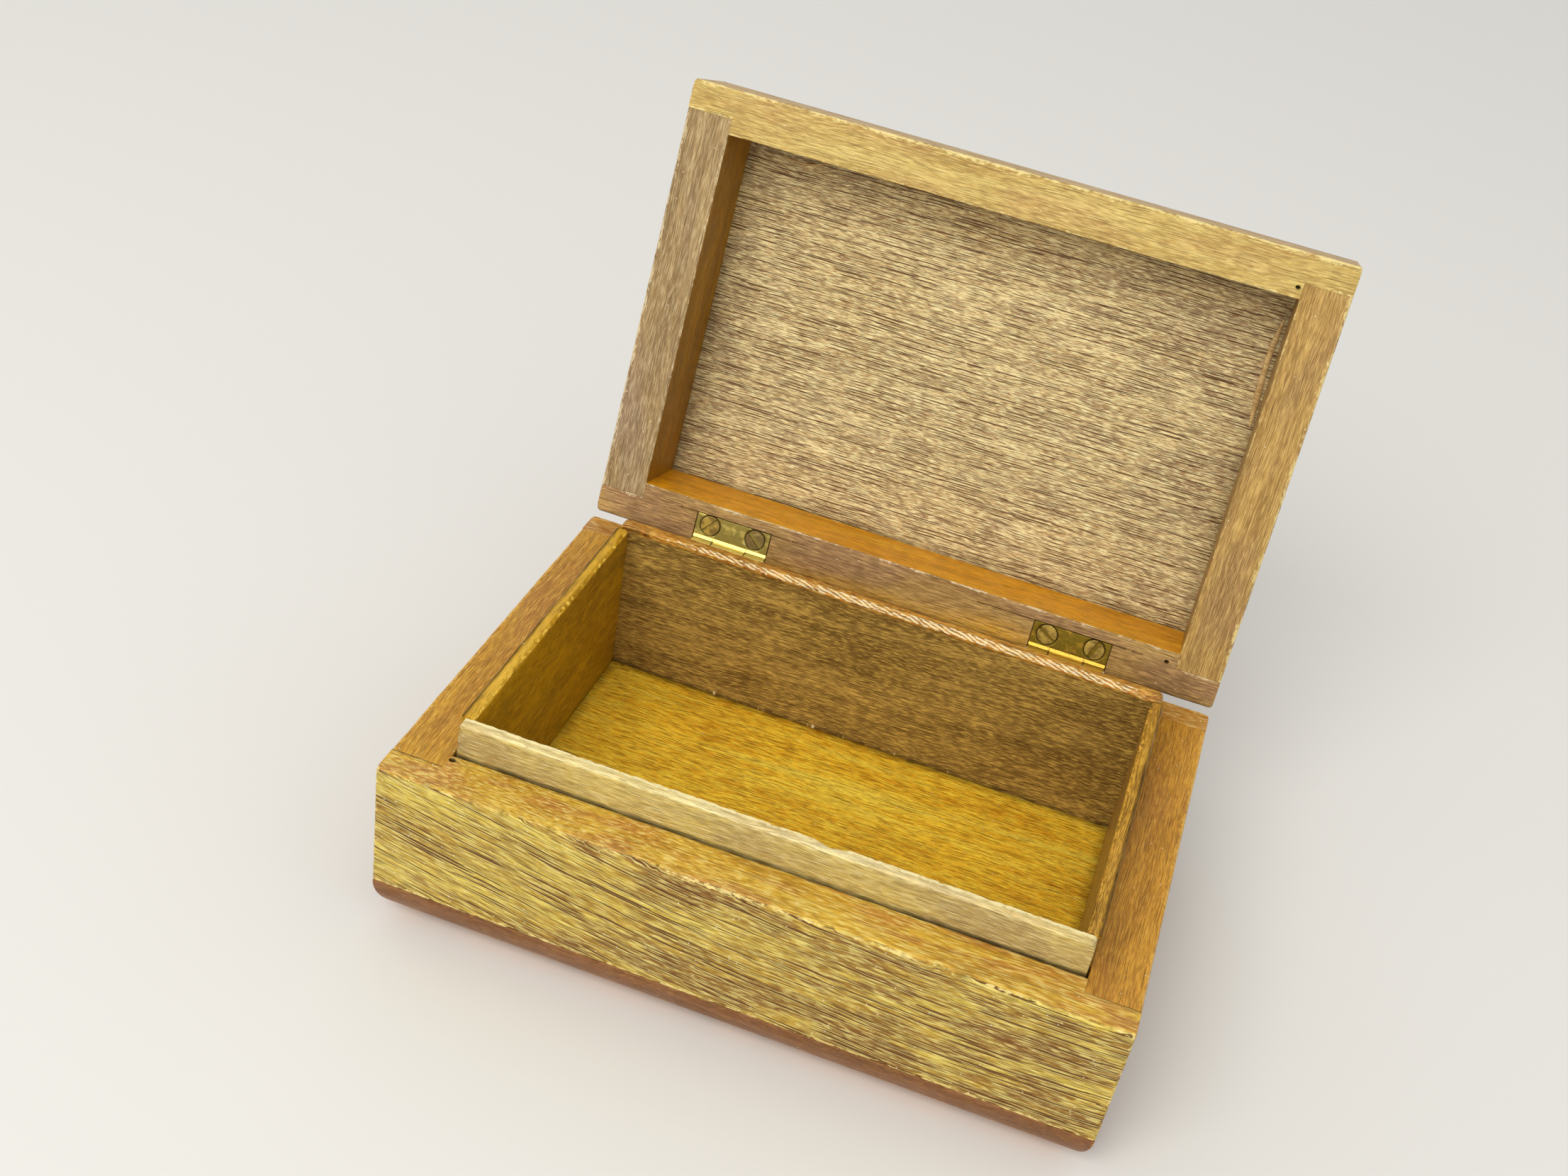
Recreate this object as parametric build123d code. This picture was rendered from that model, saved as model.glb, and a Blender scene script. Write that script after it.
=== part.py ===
from build123d import *
import os

# Hinged-lid wooden keepsake box, in millimetres.
# Frame: origin at the centre of the underside, +X to the right, +Y to the hinged back, +Z up.
# The lid is built closed and then turned open about the hinge pins.

# ---------------------------------------------------------------- driving dimensions
box_length = 152.0            # left to right, outside
box_depth = 103.0             # front to back, outside

bottom_thickness = 10.0       # solid bottom board under the walls
base_wall_height = 30.0       # bottom board to rim
base_long_thickness = 10.5    # front and back walls
base_side_thickness = 11.0    # left and right walls

top_thickness = 10.0          # solid top board on the lid's rails
lid_rail_height = 20.0        # rim to top board
lid_play = 0.5                # how much thinner each lid rail is than the wall under it

edge_round = 9.5              # quarter-round worked on the outer edge of both boards
rabbet_web = 6.5              # what the corner rabbets leave of a long wall or rail

liner_thickness = 2.8         # loose strips that stand inside the walls
liner_proud = 8.2             # how far the strips stand above the rim
back_liner_proud = 9.4        # the back strip is cut a little taller
liner_end_gap = 0.5           # front and back strips to the side walls, each end
liner_chamfer = 0.4           # on the strips' upper outer edge, so that the lid slides on
liner_corner_round = 1.8      # on the upper ends of the front and back strips

open_angle = 108.0            # the hinges' own stop

hinge_length = 18.3
left_hinge_inset = 33.8       # left end of the box to the middle of its hinge
right_hinge_inset = 34.9      # the same at the right end
leaf_width = 7.2              # back face to the leaf's inner edge
leaf_thickness = 0.9
leaf_sink = 0.05              # leaf face below the rim
leaf_fit = 0.25               # mortise round the leaf
pin_offset = 0.9              # pin axis behind the back face
knuckle_radius = 2.0
knuckle_relief = 0.2          # wood and the other leaf to a knuckle
pin_radius = 1.05
pin_play = 0.05               # lid knuckle round the pin
centre_knuckle = 8.3          # length of the lid's middle knuckle
knuckle_gap = 0.1             # end play between knuckles
dog_length = 0.8              # stop dogs on the knuckles' ends
dog_angle = 110.0             # sector that each stop dog fills
base_dog_start = -145.0       # from +Y towards +Z

screw_end_margin = 3.5        # end of a leaf to its nearer screw
screw_setback = 4.8           # back face to the screws
screw_head_radius = 2.35
screw_head_height = 1.35
screw_shank_radius = 1.0
screw_length = 8.0
screw_point_length = 2.0
slot_width = 0.7
slot_depth = 0.6
# which way each slot stopped when its screw was driven, as (left, right) degrees from +X
slot_turns = {
    "left_hinge_base": (20.0, 75.0),
    "left_hinge_lid": (48.0, 139.0),
    "right_hinge_base": (100.0, 150.0),
    "right_hinge_lid": (151.0, 68.0),
}

# ---------------------------------------------------------------- places worked out from them
rim = bottom_thickness + base_wall_height
back_face = box_depth / 2
pin_y = back_face + pin_offset
pin_axis = Axis((0, pin_y, rim), (1, 0, 0))
left_hinge_x = left_hinge_inset - box_length / 2
right_hinge_x = box_length / 2 - right_hinge_inset
inner_length = box_length - 2 * base_side_thickness
inner_depth = box_depth - 2 * base_long_thickness

ON_FLOOR = (Align.CENTER, Align.CENTER, Align.MIN)


def rounded_board(thickness, z, rounded_side):
    """A board of the full outline with a quarter-round along its outer edge."""
    board = Pos(0, 0, z) * Box(box_length, box_depth, thickness, align=ON_FLOOR)
    face = board.faces().sort_by(Axis.Z)[rounded_side]
    return fillet(face.edges(), edge_round)


def rabbeted_frame(long_thickness, side_thickness, height, z):
    """Front, back, left and right boards. The side boards stand in end rabbets of the long ones."""
    boards = {}
    rabbet_depth = long_thickness - rabbet_web
    rabbet_x = (box_length - side_thickness) / 2
    rabbet_y = back_face - rabbet_web - rabbet_depth / 2
    for name, side in (("front", -1), ("back", 1)):
        board = Pos(0, side * (back_face - long_thickness / 2), z)
        board *= Box(box_length, long_thickness, height, align=ON_FLOOR)
        for end in (-1, 1):
            notch = Box(side_thickness, rabbet_depth, height, align=ON_FLOOR)
            board -= Pos(end * rabbet_x, side * rabbet_y, z) * notch
        boards[name] = board
    for name, side in (("left", -1), ("right", 1)):
        board = Box(side_thickness, box_depth - 2 * rabbet_web, height, align=ON_FLOOR)
        boards[name] = Pos(side * rabbet_x, 0, z) * board
    return boards


def liner_strip(length, proud, side, along_x):
    """A thin strip on the bottom board, chamfered along its upper outer edge."""
    height = base_wall_height + proud
    if along_x:
        y = side * (inner_depth - liner_thickness) / 2
        strip = Pos(0, y, bottom_thickness) * Box(length, liner_thickness, height, align=ON_FLOOR)
        outer_top = strip.edges().filter_by(Axis.X).group_by(Axis.Z)[-1].sort_by(Axis.Y)
    else:
        x = side * (inner_length - liner_thickness) / 2
        strip = Pos(x, 0, bottom_thickness) * Box(liner_thickness, length, height, align=ON_FLOOR)
        outer_top = strip.edges().filter_by(Axis.Y).group_by(Axis.Z)[-1].sort_by(Axis.X)
    strip = chamfer(outer_top[-1 if side > 0 else 0], liner_chamfer)
    if along_x:
        upper_ends = strip.edges().filter_by(Axis.Y).group_by(Axis.Z)[-1]
        strip = fillet(upper_ends, liner_corner_round)
    return strip


def barrel(radius, x_start, x_end, start_angle=0.0, sweep=360.0):
    """A round bar, or a sector of one, on the pin's axis from x_start to x_end."""
    turned = Rot(start_angle, 0, 0) * Rot(0, 90, 0) * Rot(0, 0, 90)
    bar = Cylinder(radius, x_end - x_start, arc_size=sweep, align=None)
    return Pos(x_start, pin_y, rim) * turned * bar


def screw(x, up, slot_turn, slotted=True):
    """A slotted countersunk wood screw, its head just under the rim. up is 1 into the lid, -1 into the base."""
    head = Cone(screw_shank_radius, screw_head_radius, screw_head_height, align=ON_FLOOR)
    body = Pos(0, 0, -screw_head_height) * head
    shank_length = screw_length - screw_head_height - screw_point_length
    shank = Cylinder(screw_shank_radius, shank_length, align=ON_FLOOR)
    body += Pos(0, 0, screw_point_length - screw_length) * shank
    point = Cone(0, screw_shank_radius, screw_point_length, align=ON_FLOOR)
    body += Pos(0, 0, -screw_length) * point
    if slotted:
        slot = Box(2 * screw_head_radius, slot_width, 2 * slot_depth)
        body -= Rot(0, 0, slot_turn) * slot
    if up > 0:
        body = Rot(180, 0, 0) * body
    return Pos(x, back_face - screw_setback, rim + up * leaf_sink) * body


def leaf_plate(x, up):
    """A leaf's flat plate, from its inner edge to the pin."""
    width = leaf_width + pin_offset
    z = rim + up * (leaf_sink + leaf_thickness / 2)
    return Pos(x, back_face - leaf_width + width / 2, z) * Box(hinge_length, width, leaf_thickness)


def hinge(x):
    """The two leaves and the pin of one hinge, closed, with stop dogs between the knuckles."""
    half = centre_knuckle / 2
    end = hinge_length / 2
    dog_root = half - dog_length - knuckle_gap
    clear_radius = knuckle_radius + knuckle_relief

    base_leaf = leaf_plate(x, -1) - barrel(clear_radius, x - half, x + half)
    lid_leaf = leaf_plate(x, 1)
    lid_leaf -= barrel(clear_radius, x - end, x - half + knuckle_gap)
    lid_leaf -= barrel(clear_radius, x + half - knuckle_gap, x + end)
    lid_leaf += barrel(knuckle_radius, x - dog_root, x + dog_root)
    lid_dog_start = base_dog_start + dog_angle + open_angle
    base_leaf += barrel(knuckle_radius, x - end, x - half)
    base_leaf += barrel(knuckle_radius, x + half, x + end)
    for side in (-1, 1):
        near = x + side * (half - dog_length)
        root = x + side * half
        base_leaf += barrel(knuckle_radius, min(near, root), max(near, root), base_dog_start, dog_angle)
        near = x + side * dog_root
        tip = x + side * (half - knuckle_gap)
        lid_leaf += barrel(knuckle_radius, min(near, tip), max(near, tip), lid_dog_start, dog_angle)
    base_leaf -= barrel(pin_radius, x - end, x + end)
    lid_leaf -= barrel(pin_radius + pin_play, x - end, x + end)
    pin = barrel(pin_radius, x - end, x + end)
    return base_leaf, lid_leaf, pin


def mortise(x, up):
    """The pocket cut for a leaf and its knuckles in a rim."""
    depth = leaf_sink + leaf_thickness
    length = hinge_length + 2 * leaf_fit
    width = leaf_width + leaf_fit
    pocket = Pos(x, back_face - width / 2, rim + up * depth / 2) * Box(length, width, depth)
    return pocket + barrel(knuckle_radius + knuckle_relief, x - length / 2, x + length / 2)


# ---------------------------------------------------------------- base
base = {"bottom_board": rounded_board(bottom_thickness, 0, 0)}
walls = rabbeted_frame(base_long_thickness, base_side_thickness, base_wall_height, bottom_thickness)
for name, board in walls.items():
    base[name + "_wall"] = board

long_liner = inner_length - 2 * liner_end_gap
side_liner = inner_depth - 2 * liner_thickness
base["front_liner"] = liner_strip(long_liner, liner_proud, -1, True)
base["back_liner"] = liner_strip(long_liner, back_liner_proud, 1, True)
base["left_liner"] = liner_strip(side_liner, liner_proud, -1, False)
base["right_liner"] = liner_strip(side_liner, liner_proud, 1, False)

# ---------------------------------------------------------------- lid, closed
lid = {"lid_top_board": rounded_board(top_thickness, rim + lid_rail_height, -1)}
rails = rabbeted_frame(
    base_long_thickness - lid_play, base_side_thickness - lid_play, lid_rail_height, rim
)
for name, board in rails.items():
    lid["lid_" + name + "_rail"] = board

# ---------------------------------------------------------------- hinges and their screws
for hinge_name, x in (("left_hinge", left_hinge_x), ("right_hinge", right_hinge_x)):
    base_leaf, lid_leaf, pin = hinge(x)
    base["back_wall"] -= mortise(x, -1)
    lid["lid_back_rail"] -= mortise(x, 1)
    for turn, side in enumerate((-1, 1)):
        place = "outer" if side * x > 0 else "inner"
        screw_x = x + side * (hinge_length / 2 - screw_end_margin)
        base_turn = slot_turns[hinge_name + "_base"][turn]
        lid_turn = slot_turns[hinge_name + "_lid"][turn]
        base_hole = screw(screw_x, -1, base_turn, slotted=False)
        lid_hole = screw(screw_x, 1, lid_turn, slotted=False)
        base_leaf -= base_hole
        lid_leaf -= lid_hole
        base["back_wall"] -= base_hole
        lid["lid_back_rail"] -= lid_hole
        base[hinge_name + "_base_screw_" + place] = screw(screw_x, -1, base_turn)
        lid[hinge_name + "_lid_screw_" + place] = screw(screw_x, 1, lid_turn)
    base[hinge_name + "_base_leaf"] = base_leaf
    base[hinge_name + "_pin"] = pin
    lid[hinge_name + "_lid_leaf"] = lid_leaf

# ---------------------------------------------------------------- parts
os.makedirs("parts", exist_ok=True)
for name, solid in base.items():
    export_step(solid, "parts/" + name + ".step")
for name, solid in lid.items():
    export_step(solid.rotate(pin_axis, -open_angle), "parts/" + name + ".step")
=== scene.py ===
import math

import bpy
import numpy as np
from mathutils import Matrix, Vector


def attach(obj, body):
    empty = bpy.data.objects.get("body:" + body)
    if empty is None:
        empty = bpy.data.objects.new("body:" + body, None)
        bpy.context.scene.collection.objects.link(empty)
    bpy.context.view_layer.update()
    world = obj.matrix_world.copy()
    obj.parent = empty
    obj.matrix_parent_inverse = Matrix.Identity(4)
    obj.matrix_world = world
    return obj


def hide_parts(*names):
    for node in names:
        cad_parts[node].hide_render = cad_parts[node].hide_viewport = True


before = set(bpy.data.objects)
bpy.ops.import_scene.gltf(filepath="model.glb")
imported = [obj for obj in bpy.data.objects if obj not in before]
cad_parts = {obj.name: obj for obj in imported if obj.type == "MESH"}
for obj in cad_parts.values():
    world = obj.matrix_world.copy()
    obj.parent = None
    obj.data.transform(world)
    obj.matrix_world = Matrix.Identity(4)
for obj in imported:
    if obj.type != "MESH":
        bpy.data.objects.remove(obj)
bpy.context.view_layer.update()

# ---------------------------------------------------------------- table, light and camera
# The open box stands on a pale table top under one broad soft lamp, high at the front left.
# The camera looks down on it from the front, a little to the right of its middle.


def colour(code):
    """The linear red, green, blue and alpha of a colour written as #rrggbb."""
    parts = [int(code[i:i + 2], 16) / 255 for i in (1, 3, 5)]
    linear = [c / 12.92 if c <= 0.04045 else ((c + 0.055) / 1.055) ** 2.4 for c in parts]
    return (*linear, 1.0)


def add(tree, kind, inputs=None, **settings):
    """A shader node of that kind, its settings made and its inputs filled with numbers, values or sockets."""
    node = tree.nodes.new("ShaderNode" + kind)
    for key, setting in settings.items():
        setattr(node, key, setting)
    for key, given in (inputs or {}).items():
        given = getattr(given, "socket", given)
        if isinstance(given, bpy.types.NodeSocket):
            tree.links.new(given, node.inputs[key])
        else:
            node.inputs[key].default_value = given
    return node


scene = bpy.context.scene
scene.view_settings.view_transform = "Standard"

camera_data = bpy.data.cameras.new("table_camera")
camera_data.sensor_width = 36.0
camera_data.lens = 41.139
camera_data.shift_x = -0.0476
camera_data.shift_y = -0.00219
camera_data.clip_start = 0.01
camera = bpy.data.objects.new("table_camera", camera_data)
scene.collection.objects.link(camera)
camera_at = Vector((0.0504, -0.2877, 0.27898))
look = Vector((-0.14372, 0.81395, -0.56288)).normalized()
rightwards = Vector((0.94149, 0.28768, 0.17562)).normalized()
upwards = rightwards.cross(look)
turned = Matrix((rightwards, upwards, -look)).transposed().to_4x4()
camera.matrix_world = Matrix.Translation(camera_at) @ turned
scene.camera = camera

half_table = 3.0                      # in metres, like the places of the camera and the lamp
table_mesh = bpy.data.meshes.new("table_top")
table_corners = [(x * half_table, y * half_table, 0.0) for x, y in ((-1, -1), (1, -1), (1, 1), (-1, 1))]
table_mesh.from_pydata(table_corners, [], [(0, 1, 2, 3)])
table = bpy.data.objects.new("table_top", table_mesh)
scene.collection.objects.link(table)
table_paint = bpy.data.materials.new("pale_table")
table_paint.use_nodes = True
table_shader = table_paint.node_tree.nodes["Principled BSDF"]
table_shader.inputs["Base Color"].default_value = colour("#e2e1de")
table_shader.inputs["Roughness"].default_value = 0.9
table_mesh.materials.append(table_paint)

sky = bpy.data.worlds.new("room_light")
scene.world = sky
sky.use_nodes = True
sky_tree = sky.node_tree
sky_tree.nodes.clear()
ray = add(sky_tree, "LightPath")
seen = add(sky_tree, "Background", {"Color": (0.86, 0.86, 0.85, 1.0), "Strength": 1.0})
fill = add(sky_tree, "Background", {"Color": (1.0, 0.985, 0.955, 1.0), "Strength": 0.8})
to_camera = ray.outputs["Is Camera Ray"]
both = add(sky_tree, "MixShader", {0: to_camera, 1: fill.outputs[0], 2: seen.outputs[0]})
add(sky_tree, "OutputWorld", {"Surface": both.outputs[0]})

lamp_data = bpy.data.lights.new("window_lamp", "AREA")
lamp_data.shape = "DISK"
lamp_data.size = 0.9
lamp_data.energy = 9.0
lamp_data.color = (1.0, 0.98, 0.94)
lamp = bpy.data.objects.new("window_lamp", lamp_data)
lamp.matrix_world = Matrix.Translation((-0.3, -0.9, 1.0))
lamp.rotation_euler = Vector((0.3, 0.9, -0.95)).to_track_quat("-Z", "Y").to_euler()
scene.collection.objects.link(lamp)

# ---------------------------------------------------------------- bottom board
# A solid board of the box's full outline under the walls, its outer edge rounded over.
# Stained hardwood with long open pores; its top face is the floor inside the box.

MM = 0.001
length, depth = 152.0, 103.0          # the box's outline
bottom_thick = 10.0
edge_round = 9.5
half_l, half_d = length / 2, depth / 2
rim_z = 40.0                          # top of the walls
floor_long, floor_wide = 124.4, 76.4  # the floor inside the liner strips
stained_long, stained_wide = 138.0, 90.0  # the floor's stain, which runs in under the walls
worn_below = 4.7                      # the rounded edge is rubbed bare below this height
sharp_from = math.radians(38)         # faces that meet at more than this keep a sharp edge between them

# how far the closest stations are from an end in mm, and how wide each ring of a cap is, from 1 to its middle
EDGE_STEPS = np.array([0.0, 0.05, 0.12, 0.2, 0.3, 0.42, 0.56, 0.75, 1.0, 1.35])
CAP_STEPS = np.array([
    1.0, 0.8, 0.6, 0.42, 0.34, 0.3, 0.275, 0.255, 0.235, 0.215, 0.195, 0.175, 0.155, 0.135, 0.11, 0.065,
    0.036, 0.018, 0.007,
])


def stations(low, high, pitch, *extra):
    """Places from low to high: close together at both ends, pitch apart between, and any extra ones."""
    fine = EDGE_STEPS[EDGE_STEPS < (high - low) * 0.4]
    count = max(3, int((high - low - 2 * fine[-1]) / pitch) + 2)
    middle = np.linspace(low + fine[-1], high - fine[-1], count)
    return np.unique(np.round(np.concatenate([low + fine, middle, high - fine, *extra]), 4))


def carried(along, across, up, across_low, across_high, up_low, up_high):
    """A rectangle carried along a line, closed at both ends by the same rectangle shrinking to its middle.

    across and up are its stations from 0 to 1; its limits may change along the line.
    Returns the points and, for each row, the lowest and highest corner.
    """
    ring_a = np.concatenate([across, np.ones(len(up) - 2), across[::-1], np.zeros(len(up) - 2)])
    ring_u = np.concatenate([np.zeros(len(across)), up[1:-1], np.ones(len(across)), up[-2:0:-1]])
    caps = len(CAP_STEPS)
    line = np.concatenate([np.full(caps, along[0]), along, np.full(caps, along[-1])])
    shrink = np.concatenate([1 - CAP_STEPS, np.ones(len(along)), 1 - CAP_STEPS[::-1]])
    limits = []
    for limit in (across_low, across_high, up_low, up_high):
        limit = np.broadcast_to(limit, along.shape)
        limits.append(np.concatenate([np.full(caps, limit[0]), limit, np.full(caps, limit[-1])]))
    a_low, a_high, u_low, u_high = limits
    a = 0.5 + (ring_a[None, :] - 0.5) * shrink[:, None]
    u = 0.5 + (ring_u[None, :] - 0.5) * shrink[:, None]
    points = np.empty((len(line), len(ring_a), 3))
    points[..., 0] = line[:, None]
    points[..., 1] = a_low[:, None] + a * (a_high - a_low)[:, None]
    points[..., 2] = u_low[:, None] + u * (u_high - u_low)[:, None]
    low = np.stack([np.full_like(line, along[0]), a_low, u_low], -1)[:, None, :]
    high = np.stack([np.full_like(line, along[-1]), a_high, u_high], -1)[:, None, :]
    return points, low, high


def eased(points, low, high, radius):
    """Edges rounded: a point moves onto the ball of that radius round the nearest point of the shrunk board.

    The radius is kept under half of the board's thinnest side.
    """
    most = (high - low).min(-1) * 0.48
    radius = np.minimum(np.broadcast_to(radius, points.shape[:2]), most)[..., None]
    core = np.clip(points, low + radius, high - radius)
    outward = points - core
    distance = np.maximum(np.linalg.norm(outward, axis=-1, keepdims=True), 1e-9)
    return core + outward * (radius / distance)


def jagged(place, pitch, seed):
    """A broken line between 0 and 1: random heights a pitch apart, joined by straight lines."""
    count = 4096
    heights = np.random.default_rng(seed).random(count)
    return np.interp(np.asarray(place) / pitch + count / 2, np.arange(count), heights)


def near_edge(points, low, high, edges, reach):
    """1 on any of the named edges and 0 at reach from them. An edge is two faces, such as 'y- z+'."""
    nearest = np.full(points.shape[:2], np.inf)
    for edge in edges:
        square = 0
        for face in edge.split():
            axis = "xyz".index(face[0])
            side = (high if face[1] == "+" else low)[..., axis]
            square = square + (points[..., axis] - side) ** 2
        nearest = np.minimum(nearest, np.sqrt(square))
    return np.clip(1 - nearest / reach, 0, 1)


def shell(name, points, body, slot, finish, nodes, **marks):
    """One closed piece from a grid of points in mm: rows joined by quads, the end rows closed by a pole.

    marks are values for each point, kept on the mesh for the material. The piece rides on body and stands in
    for the nodes.
    """
    rows, ring = points.shape[:2]
    index = np.arange(rows * ring).reshape(rows, ring)
    ahead = np.roll(index, -1, axis=1)
    quads = np.stack([index[:-1], ahead[:-1], ahead[1:], index[1:]], -1).reshape(-1, 4)
    first, last = rows * ring, rows * ring + 1
    first_pole = np.stack([np.full(ring, first), ahead[0], index[0]], -1)
    last_pole = np.stack([np.full(ring, last), index[-1], ahead[-1]], -1)
    verts = np.concatenate([points.reshape(-1, 3), [points[0].mean(0)], [points[-1].mean(0)]]) * MM
    corners = verts[quads]
    volume = np.einsum("ij,ij->", corners[:, 0], np.cross(corners[:, 1], corners[:, 2]))
    volume += np.einsum("ij,ij->", corners[:, 0], np.cross(corners[:, 2], corners[:, 3]))
    faces = quads.tolist() + first_pole.tolist() + last_pole.tolist()
    if volume < 0:
        faces = [face[::-1] for face in faces]
    mesh = bpy.data.meshes.new(name)
    mesh.from_pydata(verts.tolist(), [], faces)
    mesh.polygons.foreach_set("use_smooth", np.ones(len(faces), bool))
    mesh.set_sharp_from_angle(angle=sharp_from)
    for mark, values in marks.items():
        layer = mesh.attributes.new(mark, "FLOAT", "POINT")
        values = np.broadcast_to(values, (rows, ring)).reshape(-1)
        values = np.concatenate([values, [values[0], values[-1]]])
        layer.data.foreach_set("value", values.astype(np.float32))
    mesh.materials.append(finish)
    piece = bpy.data.objects.new(name, mesh)
    bpy.context.scene.collection.objects.link(piece)
    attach(piece, body)
    if nodes:
        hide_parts(*nodes)
    return piece


class Value:
    """A number, colour or place in a material. Its sums, differences and products make maths nodes."""

    def __init__(self, tree, socket):
        self.tree, self.socket = tree, socket

    def __add__(self, other):
        return maths("ADD", self, other)

    def __sub__(self, other):
        return maths("SUBTRACT", self, other)

    def __rsub__(self, other):
        return maths("SUBTRACT", other, self)

    def __mul__(self, other):
        return maths("MULTIPLY", self, other)


def made(tree, kind, output, inputs=None, **settings):
    """One output of a new shader node, as a value."""
    return Value(tree, add(tree, kind, inputs, **settings).outputs[output])


def maths(operation, first, second=0.0):
    """The result of a maths node."""
    tree = (first if isinstance(first, Value) else second).tree
    return made(tree, "Math", 0, {0: first, 1: second}, operation=operation)


def vector_maths(operation, *vectors, output=0):
    """The result of a vector maths node."""
    return made(vectors[0].tree, "VectorMath", output, dict(enumerate(vectors)), operation=operation)


def parts_of(place):
    """The X, Y and Z of a place."""
    return [Value(place.tree, part) for part in add(place.tree, "SeparateXYZ", {0: place}).outputs]


def ranged(value, low, high, to_low=0.0, to_high=1.0):
    """value taken smoothly from low..high to to_low..to_high."""
    inputs = {"Value": value, "From Min": low, "From Max": high, "To Min": to_low, "To Max": to_high}
    return made(value.tree, "MapRange", "Result", inputs, interpolation_type="SMOOTHSTEP")


def blended(share, first, second):
    """Two colours blended by share."""
    return made(share.tree, "Mix", 2, {0: share, 6: first, 7: second}, data_type="RGBA")


def ramp(value, places, codes):
    """A colour ramp of three colour codes at three places."""
    node = add(value.tree, "ValToRGB", {"Fac": value})
    elements = node.color_ramp.elements
    elements.new(0.5)
    for element, place, code in zip(elements, places, codes):
        element.position = place
        element.color = colour(code)
    return Value(value.tree, node.outputs["Color"])


def stretched(place, along, across, seed):
    """Coordinates drawn out along the grain: one unit is along by across mm, moved to a place of its own."""
    scale = (1 / along, 1 / across, 1 / across)
    shift = (seed * 7.31 % 97, seed * 3.17 % 89, seed * 5.71 % 83)
    return made(place.tree, "Mapping", 0, {"Vector": place, "Scale": scale, "Location": shift})


def noise(place, size, seed, detail=2.0, rough=0.5, output="Fac"):
    """Cloudy noise drawn out to size (along, across) in mm."""
    at = stretched(place, *size, seed)
    inputs = {"Vector": at, "Scale": 1.0, "Detail": detail, "Roughness": rough}
    return made(place.tree, "TexNoise", output, inputs)


def mark(tree, name):
    """A value kept on the mesh, 0 where the mesh has none of that name."""
    return made(tree, "Attribute", "Fac", attribute_name=name, attribute_type="GEOMETRY")


def new_finish(name, turn=(0, 0, 0)):
    """An empty material, its node tree, and the place on the piece in mm, turned by those degrees."""
    finish = bpy.data.materials.new(name)
    finish.use_nodes = True
    tree = finish.node_tree
    tree.nodes.clear()
    inputs = {
        "Vector": made(tree, "TexCoord", "Object"), "Scale": (1 / MM,) * 3,
        "Rotation": [math.radians(angle) for angle in turn],
    }
    return finish, tree, made(tree, "Mapping", 0, inputs)


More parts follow.
